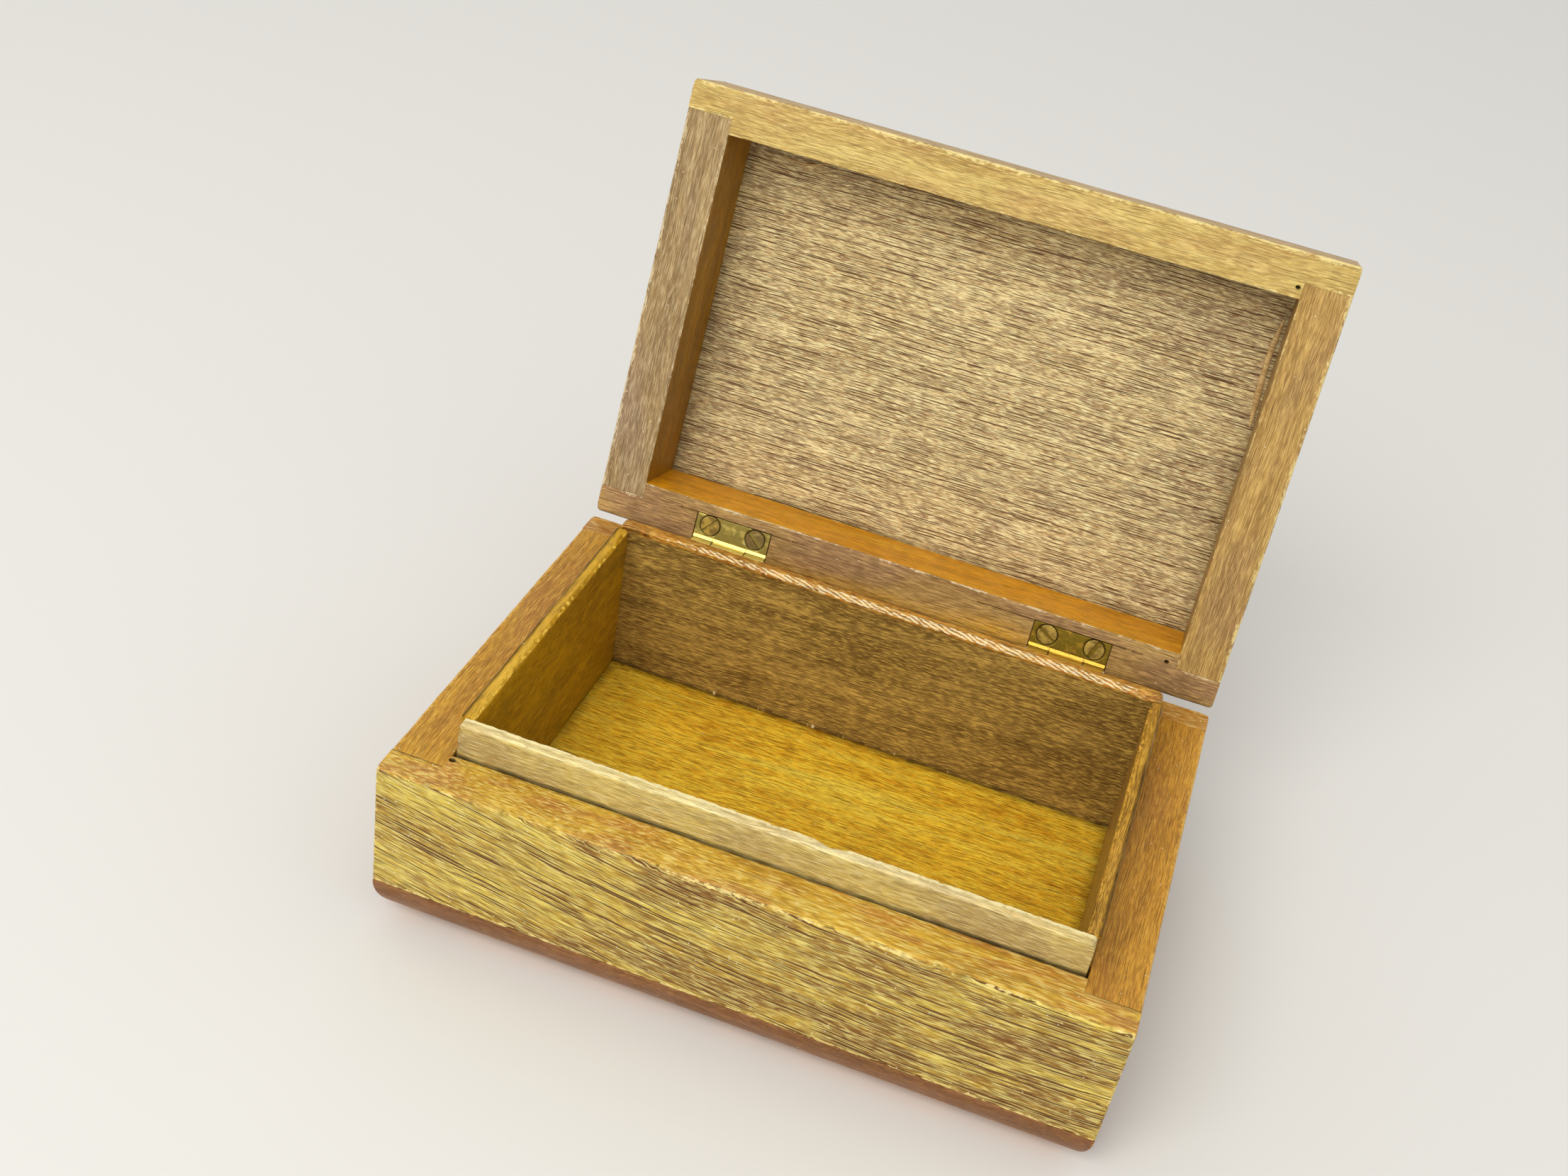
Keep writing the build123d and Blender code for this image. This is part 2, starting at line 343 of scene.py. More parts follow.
def stained_wood(
    name, seed, field, rim_field, pore, worn, outer=None, turn=(0, 0, 0), slope=0.0, bend=0.0,
    straight_at=0.0, waver=2.6, unrolled=False, figure=(46, 3.4), contrast=1.0, rim_loud=0.4,
    pore_size=(9.0, 0.5), pore_share=1.0, fine_share=1.0, fibre_size=(7, 0.24), streak=(0.35, 0.3),
    fleck_size=(2.6, 0.75), mottle=0.3, tick_size=(3.0, 0.3), ticks=0.4, side_ticks=1.0,
    glint="#f0dd9a", side_glint=None, patch=("#8a5a34", "#a4663a"), patch_share=(0.5, 0.4),
    patch_size=(30, 11), specks=0.03, gloss=0.42, rim_gloss=0.4, relief=1.0,
):
    """Open-pored wood, stained and waxed, its grain along X once turned.

    field, rim_field and outer are the (dark, middle, light) colours of the sides, of the rim face and of
    the faces marked outside. slope tilts the grain, bend makes it a parabola that runs level at straight_at
    mm, and waver is how far it wanders. unrolled takes the place across the grain from the mark over, which
    follows a rounded edge. Sizes are in mm along and across the grain, pore_size that of the space round
    one pore. pore_share and fine_share are how many long and fine pores show, streak how dark and how
    bright the fibres run, mottle, ticks and specks how strongly flecks, short marks and pale specks show,
    the specks being dust and painted glints on the wax, and side_ticks the share of the short marks off the
    rim. glint is the colour of what shines, and of the painted highlight beside each pore. patch and
    patch_share are the colours and strengths of broad stains on sides and rim, rim_loud how strongly the
    pattern shows on the rim, and gloss and rim_gloss the roughness of the wax.
    """
    finish, tree, place = new_finish(name, turn)
    along, aside, up = parts_of(place)
    away = along - straight_at
    curve = maths("POWER", maths("ABSOLUTE", away), 2.0) * bend
    tilt = away * slope
    place = made(tree, "CombineXYZ", 0, {0: along, 1: aside, 2: up + curve + tilt})
    sway = noise(place, (30, 11), seed, detail=1.5, output="Color")
    sway = vector_maths("MULTIPLY", sway, (0.0, waver, waver))
    grain = vector_maths("ADD", place, sway)

    broad = noise(grain, figure, seed + 1, detail=4.0, rough=0.62)
    fibre = noise(grain, fibre_size, seed + 2, detail=3.0, rough=0.65)
    bright = noise(grain, (fibre_size[0] * 0.5, fibre_size[1] * 1.1), seed + 9)
    tick = noise(grain, tick_size, seed + 13, detail=1.5)
    crowd = noise(grain, (14, 4), seed + 3)
    stain = noise(grain, patch_size, seed + 10, detail=3.0)
    fleck = noise(grain, fleck_size, seed + 11, detail=3.0, rough=0.6)
    rim, end, tint = mark(tree, "rim"), mark(tree, "end"), mark(tree, "tint")
    loud = ranged(rim, 0.0, 1.0, 1.0, rim_loud)
    lines = loud * (1.0 - end)

    along, aside, lift = parts_of(grain)
    if unrolled:
        lift = mark(tree, "over") + parts_of(sway)[2]
    face = made(tree, "CombineXYZ", 0, {0: along, 1: lift + rim * (aside - lift)})

    def pores(size, share, number):
        """Thin dashes, one to a cell drawn out along the grain, and below each a pale line, a painted
        highlight of its edge.
        """
        at = stretched(face, *size, seed + number)
        inputs = {"Vector": at, "Scale": 1.0, "Randomness": 1.0}
        cells = add(tree, "TexVoronoi", inputs, voronoi_dimensions="2D").outputs
        chance = made(tree, "SeparateColor", 0, {0: cells["Color"]})
        reach = chance * ranged(crowd, 0.3, 0.65, 0.7 * share, 1.15 * share)
        away = vector_maths("SUBTRACT", at, cells["Position"])
        found = []
        for lower in (0.0, 1.2):
            shape = vector_maths("MULTIPLY_ADD", away, (1.9, 7.5, 0.0), (0.0, lower, 0.0))
            far = vector_maths("LENGTH", shape, output="Value")
            found.append(ranged(reach - far, -0.2, 0.1) * lines)
        return found

    long_pores, long_pore_highlights = pores(pore_size, pore_share, 4)
    fine_pores, fine_pore_highlights = pores((pore_size[0] * 0.45, pore_size[1] * 0.62), fine_share, 5)
    inputs = {"Vector": stretched(grain, 9.0, 0.7, seed + 12), "Scale": 1.0}
    dots = ranged(made(tree, "TexVoronoi", "Distance", inputs), 0.3, 0.16) * end

    dark = colour(pore)
    outside = mark(tree, "outside")
    gleam = blended(maths("MAXIMUM", rim, outside), colour(side_glint or glint), colour(glint))
    spread = 0.18 / contrast
    side = ramp(broad, (0.5 - spread, 0.5, 0.5 + spread), field)
    if outer:
        side = blended(outside, side, ramp(broad, (0.32, 0.5, 0.68), outer))
    top = ramp(broad, (0.34, 0.5, 0.68), rim_field)
    stained = ranged(stain + tint * 0.22, 0.48, 0.68)
    side = blended(stained * patch_share[0], side, colour(patch[0]))
    top = blended(stained * patch_share[1], top, colour(patch[1]))
    tone = blended(rim, side, top)
    tone = blended(ranged(tint, 0.0, -1.0, 0.0, 0.7), tone, colour(field[2]))
    tone = blended(ranged(fleck, 0.5, 0.3, 0.0, mottle) * loud, tone, dark)
    tone = blended(ranged(fleck, 0.52, 0.72, 0.0, mottle) * loud, tone, gleam)
    tone = blended(ranged(fibre, 0.5, 0.3, 0.0, streak[0]) * loud, tone, dark)
    tone = blended(ranged(bright, 0.52, 0.72, 0.0, streak[1]) * loud, tone, gleam)
    ticked = ranged(rim, 0.0, 1.0, side_ticks, 1.0) * (1.0 - end)
    tone = blended(ranged(tick, 0.48, 0.35, 0.0, 0.8 * ticks) * ticked, tone, dark)
    tone = blended(ranged(tick, 0.52, 0.64, 0.0, ticks) * ticked, tone, gleam)
    # Painted highlight: a pale line beside each pore, where light catches its edge.
    tone = blended(maths("MAXIMUM", long_pore_highlights, fine_pore_highlights) * 0.45, tone, gleam)
    tone = blended(fine_pores * 0.65, tone, dark)
    tone = blended(long_pores * 0.9, tone, dark)
    tone = blended(dots * 0.6, tone, dark)

    rub = noise(grain, (1.1, 0.4), seed + 6, detail=4.0)
    bare = ranged(mark(tree, "worn") + rub * 1.3, 1.12, 1.4)
    tone = blended(bare * 0.85, tone, colour(worn))
    # Darkened where the mesh is marked: real dirt, and painted shade in the gaps between parts and along the
    # strips' feet.
    soil = noise(place, (9, 7), seed + 7, detail=5.0)
    soiled_and_shaded = mark(tree, "grime") * ranged(soil, 0.3, 0.65, 0.55, 1.0)
    tone = blended(soiled_and_shaded, tone, colour("#2e1d0b"))
    # Pale specks: dust on the wood, and painted glints where light catches the wax.
    inputs = {"Vector": stretched(place, 1.2, 1.2, seed + 8), "Scale": 1.0}
    dust = add(tree, "TexVoronoi", inputs).outputs
    chosen = made(tree, "SeparateColor", 1, {0: dust["Color"]})
    speck = ranged(Value(tree, dust["Distance"]), 0.15, 0.08) * maths("GREATER_THAN", chosen, 1 - specks)
    tone = blended(speck * 0.7, tone, colour("#fff6dc"))

    dull = ranged(soil, 0.3, 0.7, gloss - 0.07, gloss + 0.1)
    dull = dull + rim * (rim_gloss - gloss) + long_pores * 0.25 + bare * 0.15
    height = fibre * 0.7 - long_pores - fine_pores * 0.5 - dots + fleck * 0.6 + tick * ticks
    bump = made(tree, "Bump", 0, {"Height": height, "Strength": 0.7, "Distance": 0.0002 * relief})
    waxed = 1.0 - soiled_and_shaded
    shader = add(tree, "BsdfPrincipled", {
        "Base Color": tone, "Roughness": dull, "Normal": bump, "Specular IOR Level": waxed * 0.45,
        "Specular Tint": colour("#ffdca6"), "Coat Weight": waxed * 0.12, "Coat Roughness": 0.32,
    })
    add(tree, "OutputMaterial", {"Surface": shader.outputs[0]})
    return finish


def rounded_board(z_low, thick, rounded_up):
    """The board's outline carried up, drawn in by a quarter circle towards the face that is rounded."""
    turn = np.linspace(0, math.pi / 2, 26)
    quarter = edge_round * np.sin(turn)
    heights = np.concatenate([quarter, [thick - 0.25, thick - 0.12, thick - 0.05, thick]])
    inset = edge_round - np.sqrt(np.maximum(edge_round ** 2 - (edge_round - heights) ** 2, 0))
    inset[heights > edge_round] = 0
    if rounded_up:
        heights, inset = (thick - heights)[::-1], inset[::-1]
    across = (stations(-half_l, half_l, 1.6) + half_l) / length
    up = (stations(-half_d, half_d, 1.6) + half_d) / depth
    points, low, high = carried(
        z_low + heights, across, up, inset - half_l, half_l - inset, inset - half_d, half_d - inset
    )
    order = [1, 2, 0]
    return points[..., order], low[..., order], high[..., order]


def board_ends(points):
    """1 on a rounded board's left and right edges, where the end grain shows, fading out over the round."""
    lean = (np.abs(points[..., 0]) - (half_l - edge_round)) / edge_round
    return np.clip((lean - 0.6) / 0.3, 0, 1)


points, low, high = rounded_board(0.0, bottom_thick, False)
wear = near_edge(points, low, high, ["x- y-", "x+ y-", "x- y+", "x+ y+"], 1.6)
points = eased(points, low, high, 0.35 + 0.5 * jagged(points[..., 2], 1.3, 3))
x, y, z = np.moveaxis(points, -1, 0)
inside = (np.abs(x) < stained_long / 2) & (np.abs(y) < stained_wide / 2)
floor_face = (inside & (z > bottom_thick - 0.3)) * 1.0
worn_line = np.clip((worn_below - z) / 0.9, 0, 1) * (0.55 + 0.45 * jagged(x, 1.6, 4))
# Painted shade: the floor darkens along the feet of the liner strips, the shade where they meet it.
liner_foot = np.minimum(floor_long / 2 - np.abs(x), floor_wide / 2 - np.abs(y))
floor_foot_shade = np.clip(1 - np.abs(liner_foot) / 1.8, 0, 1) * floor_face * 0.8
# The floor's colours are written lighter than its stain, as painted light against the shade inside the box.
bottom_finish = stained_wood(
    "bottom_board_stain", 11, ("#603a26", "#7c4f34", "#946644"), ("#eca81c", "#ffc428", "#ffde50"),
    pore="#784806", worn="#d89448", figure=(60, 2.2), pore_size=(4.5, 0.5), pore_share=0.8,
    fibre_size=(3.0, 0.26), tick_size=(4.5, 0.3), streak=(0.35, 0.55), glint="#ffe24a", side_glint="#b07c40",
    mottle=0.35, patch=("#5a3420", "#cc8410"), patch_share=(0.5, 0.45), rim_loud=0.95, gloss=0.38,
    rim_gloss=0.3, specks=0.08, ticks=0.7, side_ticks=0.3, unrolled=True,
)
shell(
    "bottom_board_rounded", points, "base", "bottom_board", bottom_finish, ["bottom_board"],
    rim=floor_face, worn=np.maximum(wear * 0.6, worn_line), grime=floor_foot_shade, end=board_ends(points),
    over=y + np.sign(y) * z,
)

# ---------------------------------------------------------------- front and back walls
# Two boards as long as the box, glued on the bottom board. A rabbet at each end leaves a thin web
# in front of the side walls. Their edges are rubbed pale and chipped; the back one has the hinge pockets.

wall_thick = 10.5
side_thick = 11.0
web = 6.5
leaf_long, leaf_wide, leaf_thick = 18.3, 7.2, 0.9
pocket_room, pocket_deep = 0.25, 0.95
hinge_xs = (-42.2, 41.1)              # the middles of the two hinges
pin_behind, knuckle_r, knuckle_room = 0.9, 2.0, 0.2
step = 0.002                          # two stations this far either side of a step keep it sharp
rim_stain = 0.25                      # how far the rim's stain runs over its edges
end_grain = 0.3                       # and the look of the end grain round the ends


def bevelled(points, direction, corner, cut):
    """Whatever stands in that direction past the edge through corner, less cut, is planed back flat.

    cut may change along the edge.
    """
    direction = np.array(direction, float) / np.linalg.norm(direction)
    over = (points - corner) @ direction + cut
    return points - np.maximum(over, 0.0)[..., None] * direction


def sparse(place, pitch, seed, share):
    """The tops of a jagged line: 0 along most of an edge, rising to 1 in about that share of it."""
    return np.clip((jagged(place, pitch, seed) - 1 + share) / share, 0, 1)


def handled(place, seed):
    """How far a side board's outer edge at the rim is rubbed back along it."""
    return 0.12 + 0.12 * jagged(place, 3.2, seed) + 0.12 * jagged(place, 0.9, seed + 1)


def frayed(place, seed):
    """How far a wall's foot is worn back along its edge."""
    return 0.1 + 0.14 * jagged(place, 0.9, seed) + 0.3 * sparse(place, 1.7, seed + 1, 0.3)


def blots(first, second, *spots):
    """Soft round patches summed up: each spot is its middle, two radii and strength, 1 dark to -1 pale."""
    total = np.zeros(first.shape)
    for middle_1, middle_2, radius_1, radius_2, strength in spots:
        away = ((first - middle_1) / radius_1) ** 2 + ((second - middle_2) / radius_2) ** 2
        total = total + strength * np.exp(-away)
    return np.clip(total, -1, 1)


def long_board(z_low, z_high, thick, rabbet, pitch=0.75, more_x=(), more_y=()):
    """A long board at the back: a rectangle carried along X, only as thick as the web in its end rabbets.

    rabbet is the length of each, and more_x and more_y are runs of extra stations.
    """
    shoulder = half_l - rabbet
    cuts = [-shoulder - step, -shoulder + step, shoulder - step, shoulder + step]
    along = stations(-half_l, half_l, pitch, cuts, *more_x)
    inner = np.where(np.abs(along) > shoulder, half_d - web, half_d - thick)
    places = stations(half_d - thick, half_d, 0.6, *more_y)
    across = (places - places[0]) / thick
    up = (stations(z_low, z_high, pitch) - z_low) / (z_high - z_low)
    return carried(along, across, up, inner, half_d, z_low, z_high)


def mirrored(points):
    """The same at the front."""
    return points * [1, -1, 1]


def pricked(points, at_x, at_y, radius, deep, up):
    """A small round hole in a rim, deepest at its middle; up is 1 where the rim is the board's underside."""
    away = np.hypot(points[..., 0] - at_x, (points[..., 1] - at_y) * 1.3)
    rim_side = np.abs(points[..., 2] - rim_z) < 0.4
    dip = np.clip((radius - away) / 0.25, 0, 1) * deep * rim_side
    points = points.copy()
    points[..., 2] += dip * up
    return points, np.clip((radius + 0.1 - away) / 0.2, 0, 1) * rim_side


def round_about(place):
    """Close stations round a hole."""
    return place + np.linspace(-0.8, 0.8, 15)


nail = (-64.3, 42.6)
points, low, high = long_board(
    bottom_thick, rim_z, wall_thick, side_thick, pitch=0.55, more_x=[round_about(nail[0])],
    more_y=[round_about(nail[1])],
)
points, nail_dark = pricked(points, *nail, 0.75, 1.2, -1)
points, low, high = mirrored(points), mirrored(low), mirrored(high)
low, high = np.minimum(low, high), np.maximum(low, high)
x, y, z = np.moveaxis(points, -1, 0)
top_front = near_edge(points, low, high, ["y- z+"], 1.5)
foot = near_edge(points, low, high, ["y- z-"], 1.6)
corners = near_edge(points, low, high, ["x- y-", "x+ y-"], 1.8)
points = eased(points, low, high, 0.14 + 0.3 * top_front + 0.5 * corners)
rub = 0.14 + 0.2 * jagged(x, 6.1, 21) + 0.2 * jagged(x, 0.8, 22) + 0.3 * sparse(x, 1.1, 23, 0.25)
rub = rub + 0.2 * np.clip((x + 52) / 20, 0, 1)
knock = np.exp(-((x + 18.0) / 6.0) ** 2)          # the long chip left of the middle
rub = rub + 0.55 * knock * jagged(x, 1.1, 20)
points = bevelled(points, (0, -1, 1), (0, -half_d, rim_z), rub)
points = bevelled(points, (0, -1, -1), (0, -half_d, bottom_thick), frayed(x, 24))
chips = 0.1 + 0.2 * jagged(z, 1.1, 26) + 0.55 * sparse(z, 1.4, 27, 0.3)
points = bevelled(points, (1, -1, 0), (half_l, -half_d, 0), chips)
points = bevelled(points, (-1, -1, 0), (-half_l, -half_d, 0), chips * 0.7)
points = bevelled(points, (0, 1, 1), (0, wall_thick - half_d, rim_z), 0.25 + 0.12 * jagged(x, 2.9, 19))
rubbed = 0.1 + 0.55 * jagged(x, 1.1, 28) + 0.5 * jagged(x, 6.1, 21)
rubbed = rubbed * (0.3 + 0.7 * np.clip((x + 45) / 30, 0, 1))
wear = np.maximum(top_front * rubbed, foot * (0.45 + 0.7 * jagged(x, 1.1, 29)))
knocked = top_front * sparse(x, 1.3, 18, 0.3) * 0.6
wear = np.maximum(wear, corners * (0.2 + 0.7 * jagged(z, 1.4, 30)))
# Painted shade: a dark line along the inner top edge, in the gap against the front liner.
liner_gap_shade = near_edge(points, low, high, ["y+ z+"], 0.7)
front_tint = blots(
    x, z, (0, 16, 30, 4.5, 1.0), (-17, 36, 9, 3, 1.0), (22, 34, 34, 4, 0.5), (66, 27, 12, 9, 0.7),
    (-50, 20, 22, 9, -0.5), (-64, 36, 16, 4, -0.9), (-30, 30, 22, 4, -0.5), (30, 13, 40, 3, 0.7),
)
rim_tint = blots(
    x, y, (-72, -46, 9, 8, 0.9), (70, -46, 12, 8, 0.8), (-34, -44, 16, 2, 0.5), (10, -49, 30, 1.5, -0.3),
)
on_rim = points[..., 2] > rim_z - rim_stain
front_finish = stained_wood(
    "front_wall_stain", 21, ("#8e6820", "#be9834", "#dec452"), ("#ba8a28", "#d2a434", "#e4be46"),
    pore="#56290c", worn="#f2dc8c", bend=-0.00095, straight_at=52.0, pore_size=(13.0, 1.25), pore_share=1.35,
    fine_share=1.1, figure=(30, 2.4), fibre_size=(8, 0.42), tick_size=(3.2, 0.36), streak=(0.6, 0.4),
    glint="#f2e48c", mottle=0.3, patch=("#80501f", "#bc7a3c"), patch_share=(0.8, 0.6), patch_size=(12, 3.0),
    fleck_size=(4.0, 0.6), waver=2.0, gloss=0.42, rim_gloss=0.36, relief=1.3, contrast=1.2, ticks=0.5,
    rim_loud=0.25,
)
shell(
    "front_wall_board", points, "base", "walls", front_finish, ["front_wall"],
    rim=on_rim * 1.0, worn=wear, grime=np.maximum(np.maximum(liner_gap_shade * 0.9, nail_dark * 0.95), knocked),
    end=(np.abs(x) > half_l - end_grain) * 1.0, tint=np.where(on_rim, rim_tint, front_tint),
)


pocket_half = leaf_long / 2 + pocket_room
pocket_y = half_d - leaf_wide - pocket_room


def pocketed(points, up):
    """The hinge pockets cut from the rim of a back board: flat for the leaf, hollow for the knuckles.

    up is 1 where the rim is the board's underside, as in the lid, and -1 where it is its top.
    """
    x, y = points[..., 0], points[..., 1]
    z = (points[..., 2] - rim_z) * up
    clear = knuckle_r + knuckle_room
    hollow = np.sqrt(np.maximum(clear ** 2 - (half_d + pin_behind - y) ** 2, 0))
    for centre in hinge_xs:
        inside = (np.abs(x - centre) < pocket_half) & (y > pocket_y)
        z = np.where(inside, np.maximum(z, np.maximum(pocket_deep, hollow)), z)
    return np.stack([x, y, rim_z + z * up], -1)


pocket_ends = [centre + side * pocket_half for centre in hinge_xs for side in (-1, 1)]
pocket_xs = [x + d for x in pocket_ends for d in (-step, step)]
pocket_ys = [pocket_y - step, pocket_y + step]
points, low, high = long_board(
    bottom_thick, rim_z, wall_thick, side_thick, more_x=[pocket_xs], more_y=[pocket_ys],
)
x, y, z = np.moveaxis(points, -1, 0)
top_back = near_edge(points, low, high, ["y+ z+"], 2.0)
corners = near_edge(points, low, high, ["x- y+", "x+ y+"], 1.8)
foot = near_edge(points, low, high, ["y+ z-"], 1.6)
points = eased(points, low, high, 0.14 + 0.25 * top_back + 0.5 * corners)
rub = 0.12 + 0.12 * jagged(x, 3.3, 31) + 0.12 * jagged(x, 0.9, 32)
points = bevelled(points, (0, 1, 1), (0, half_d, rim_z), rub)
points = bevelled(points, (0, 1, -1), (0, half_d, bottom_thick), frayed(x, 34))
points = pocketed(points, -1)
wear = np.maximum(top_back * (0.5 + 0.5 * jagged(x, 2.6, 38)), foot * (0.3 + 0.5 * jagged(x, 1.3, 39)))
wear = np.maximum(wear, corners * (0.4 + 0.5 * jagged(z, 1.9, 40)))
bare_wood = ("#8f6c36", "#ad8845", "#c5a556")
back_finish = stained_wood(
    "back_wall_stain", 33, bare_wood, ("#a5691c", "#bd7f26", "#cf9636"),
    pore="#55350f", worn="#e6cc82", slope=0.03, streak=(0.7, 0.55), gloss=0.42, rim_gloss=0.38,
)
shell(
    "back_wall_board", points, "base", "walls", back_finish, ["back_wall"],
    rim=(points[..., 2] > rim_z - rim_stain) * 1.0, worn=wear, grime=0.0,
    end=(np.abs(x) > half_l - end_grain) * 1.0,
)

# ---------------------------------------------------------------- left and right walls
# Shorter boards whose ends stand in the rabbets of the long walls. The rims are stained darker
# than the faces, and the right one has more pale specks: dust, and painted glints on the wax.


def side_board(z_low, z_high, thick):
    """A right-hand side wall or rail: a rectangle carried along Y between the webs of the long boards."""
    pitch = 0.7
    along = stations(web - half_d, half_d - web, pitch)
    across = stations(0, thick, 0.6) / thick
    up = (stations(z_low, z_high, pitch) - z_low) / (z_high - z_low)
    points, low, high = carried(along, across, up, half_l - thick, half_l, z_low, z_high)
    order = [1, 0, 2]
    return points[..., order], low[..., order], high[..., order]


side_finishes = {
    "left": stained_wood(
        "left_wall_stain", 41, ("#8d6a2c", "#ab8638", "#c3a346"), ("#aa7016", "#c28a20", "#d8a22e"),
        pore="#6e4410", worn="#e0b04c", turn=(0, 0, 90), slope=-0.02, gloss=0.42, rim_gloss=0.36,
        pore_share=0.9, rim_loud=0.8, glint="#ecc058",
    ),
    "right": stained_wood(
        "right_wall_stain", 47, ("#8d6a2c", "#ab8638", "#c3a346"), ("#a66f1c", "#c08626", "#d89e32"),
        pore="#6a400e", worn="#dcaa48", turn=(0, 0, 90), slope=0.02, gloss=0.42, rim_gloss=0.34,
        specks=0.08, pore_share=0.9, rim_loud=0.8, glint="#e4b048", ticks=0.35, mottle=0.4,
    ),
}
for hand, side, seed in (("left", -1, 51), ("right", 1, 61)):
    points, low, high = side_board(bottom_thick, rim_z, side_thick)
    x, y, z = np.moveaxis(points, -1, 0)
    top_out = near_edge(points, low, high, ["x+ z+"], 2.0)
    foot = near_edge(points, low, high, ["x+ z-"], 1.6)
    points = eased(points, low, high, 0.12 + 0.2 * top_out)
    points = bevelled(points, (1, 0, 1), (half_l, 0, rim_z), handled(y, seed))
    points = bevelled(points, (1, 0, -1), (half_l, 0, bottom_thick), frayed(y, seed + 2))
    wear = top_out * (0.5 + 0.5 * jagged(y, 2.4, seed + 4))
    wear = np.maximum(wear, foot * (0.3 + 0.5 * jagged(y, 1.3, seed + 5)))
    points[..., 0] *= side
    shell(
        hand + "_wall_board", points, "base", "walls", side_finishes[hand], [hand + "_wall"],
        rim=(points[..., 2] > rim_z - rim_stain) * 1.0, worn=wear, grime=0.0,
    )

# ---------------------------------------------------------------- liner strips
# Four thin strips stand loose inside the walls and rise above the rim to locate the lid. The front and
# back ones run the whole length with their upper ends rounded. All have rough, chattered top edges.

liner_thick = 2.8
front_proud, back_proud = 8.2, 9.4
end_gap = 0.5
inner_l = length - 2 * side_thick
inner_d = depth - 2 * wall_thick
corner_round = 1.8


def liner(long, height, at, along_x, pitch=0.4):
    """A strip of liner_thick: a rectangle carried along its length. at is the middle of its thickness."""
    along = stations(-long / 2, long / 2, pitch)
    across = stations(0, liner_thick, 0.28) / liner_thick
    up = stations(0, height, 0.6) / height
    points, low, high = carried(
        along, across, up, at - liner_thick / 2, at + liner_thick / 2, bottom_thick, bottom_thick + height
    )
    order = [0, 1, 2] if along_x else [1, 0, 2]
    return points[..., order], low[..., order], high[..., order]


def round_ends(points, half, top, radius):
    """The two upper corners of a long strip cut to a quarter circle."""
    over_x = np.abs(points[..., 0]) - (half - radius)
    over_z = points[..., 2] - (top - radius)
    reach = np.hypot(over_x, over_z)
    shrink = np.where((over_x > 0) & (over_z > 0), np.minimum(1, radius / np.maximum(reach, 1e-9)), 1.0)
    round_x = np.sign(points[..., 0]) * (half - radius + over_x * shrink)
    round_z = top - radius + over_z * shrink
    points = points.copy()
    points[..., 0] = np.where(shrink < 1, round_x, points[..., 0])
    points[..., 2] = np.where(shrink < 1, round_z, points[..., 2])
    return points


long = inner_l - 2 * end_gap
top = rim_z + front_proud
points, low, high = liner(long, top - bottom_thick, -(inner_d - liner_thick) / 2, True)
x, y, z = np.moveaxis(points, -1, 0)
upper = np.clip(near_edge(points, low, high, ["y+ z+"], 1.8) * 1.8, 0, 1)
points = eased(points, low, high, 0.2 + 0.55 * near_edge(points, low, high, ["y- z+"], 1.2))
points = round_ends(points, long / 2, top, corner_round)
points = bevelled(points, (0, -1, 1.2), (0, -inner_d / 2, top), 0.42 + 0.12 * jagged(x, 2.7, 71))
nicks = 0.3 + 0.14 * jagged(x, 0.7, 73) + 0.18 * sparse(x, 1.3, 74, 0.3)
gouge = np.clip(1 - np.abs(x - 12.0) / 3.6, 0, 1)
points = bevelled(points, (0, 1, 1), (0, liner_thick - inner_d / 2, top), nicks + 0.8 * gouge)
splinters = 0.15 + 0.5 * jagged(z, 0.8, 78) + 0.5 * sparse(z, 1.7, 79, 0.3)
points = bevelled(points, (-1, -1, 0), (-long / 2, -inner_d / 2, 0), splinters)
chatter = 0.02 + 0.15 * jagged(x, 4.7, 75) + 0.1 * jagged(x, 0.8, 76)
points = bevelled(points, (0, 0, 1), (0, 0, top), chatter)
# Painted shade: a dark line along the outer face just above the rim, in the gap against the front wall.
foot = np.clip(1.6 - np.abs(points[..., 2] - rim_z) / 0.4, 0, 1) * (y < 0.3 - inner_d / 2)
chip_soil = np.clip(gouge * 1.6, 0, 1) * near_edge(points, low, high, ["y+ z+"], 1.6)
liner_tint = blots(x, z, (52, 44, 22, 8, 0.9), (30, 42, 16, 4, 0.4), (-20, 46, 40, 3, -0.4))
front_liner_finish = stained_wood(
    "front_liner_stain", 53, ("#c0a658", "#d6bc66", "#e8d07c"), ("#e0c67c", "#f4de96", "#fff2b8"),
    pore="#67482a", worn="#fbeeb4", pore_size=(9.0, 0.34), pore_share=0.6, figure=(60, 2.2),
    fibre_size=(16, 0.18), streak=(0.45, 0.4), glint="#f3e6ac", patch=("#a88c60", "#c49a58"),
    patch_share=(0.6, 0.5), rim_loud=0.8, gloss=0.48, rim_gloss=0.5, mottle=0.15,
)
shell(
    "front_liner_strip", points, "base", "liner_strips", front_liner_finish, ["front_liner"],
    rim=(points[..., 2] > top - 0.5) * 1.0, worn=upper * (0.6 + 0.5 * jagged(x, 0.8, 77)) * (1 - gouge),
    grime=np.maximum(foot * 0.95, chip_soil), tint=liner_tint,
)

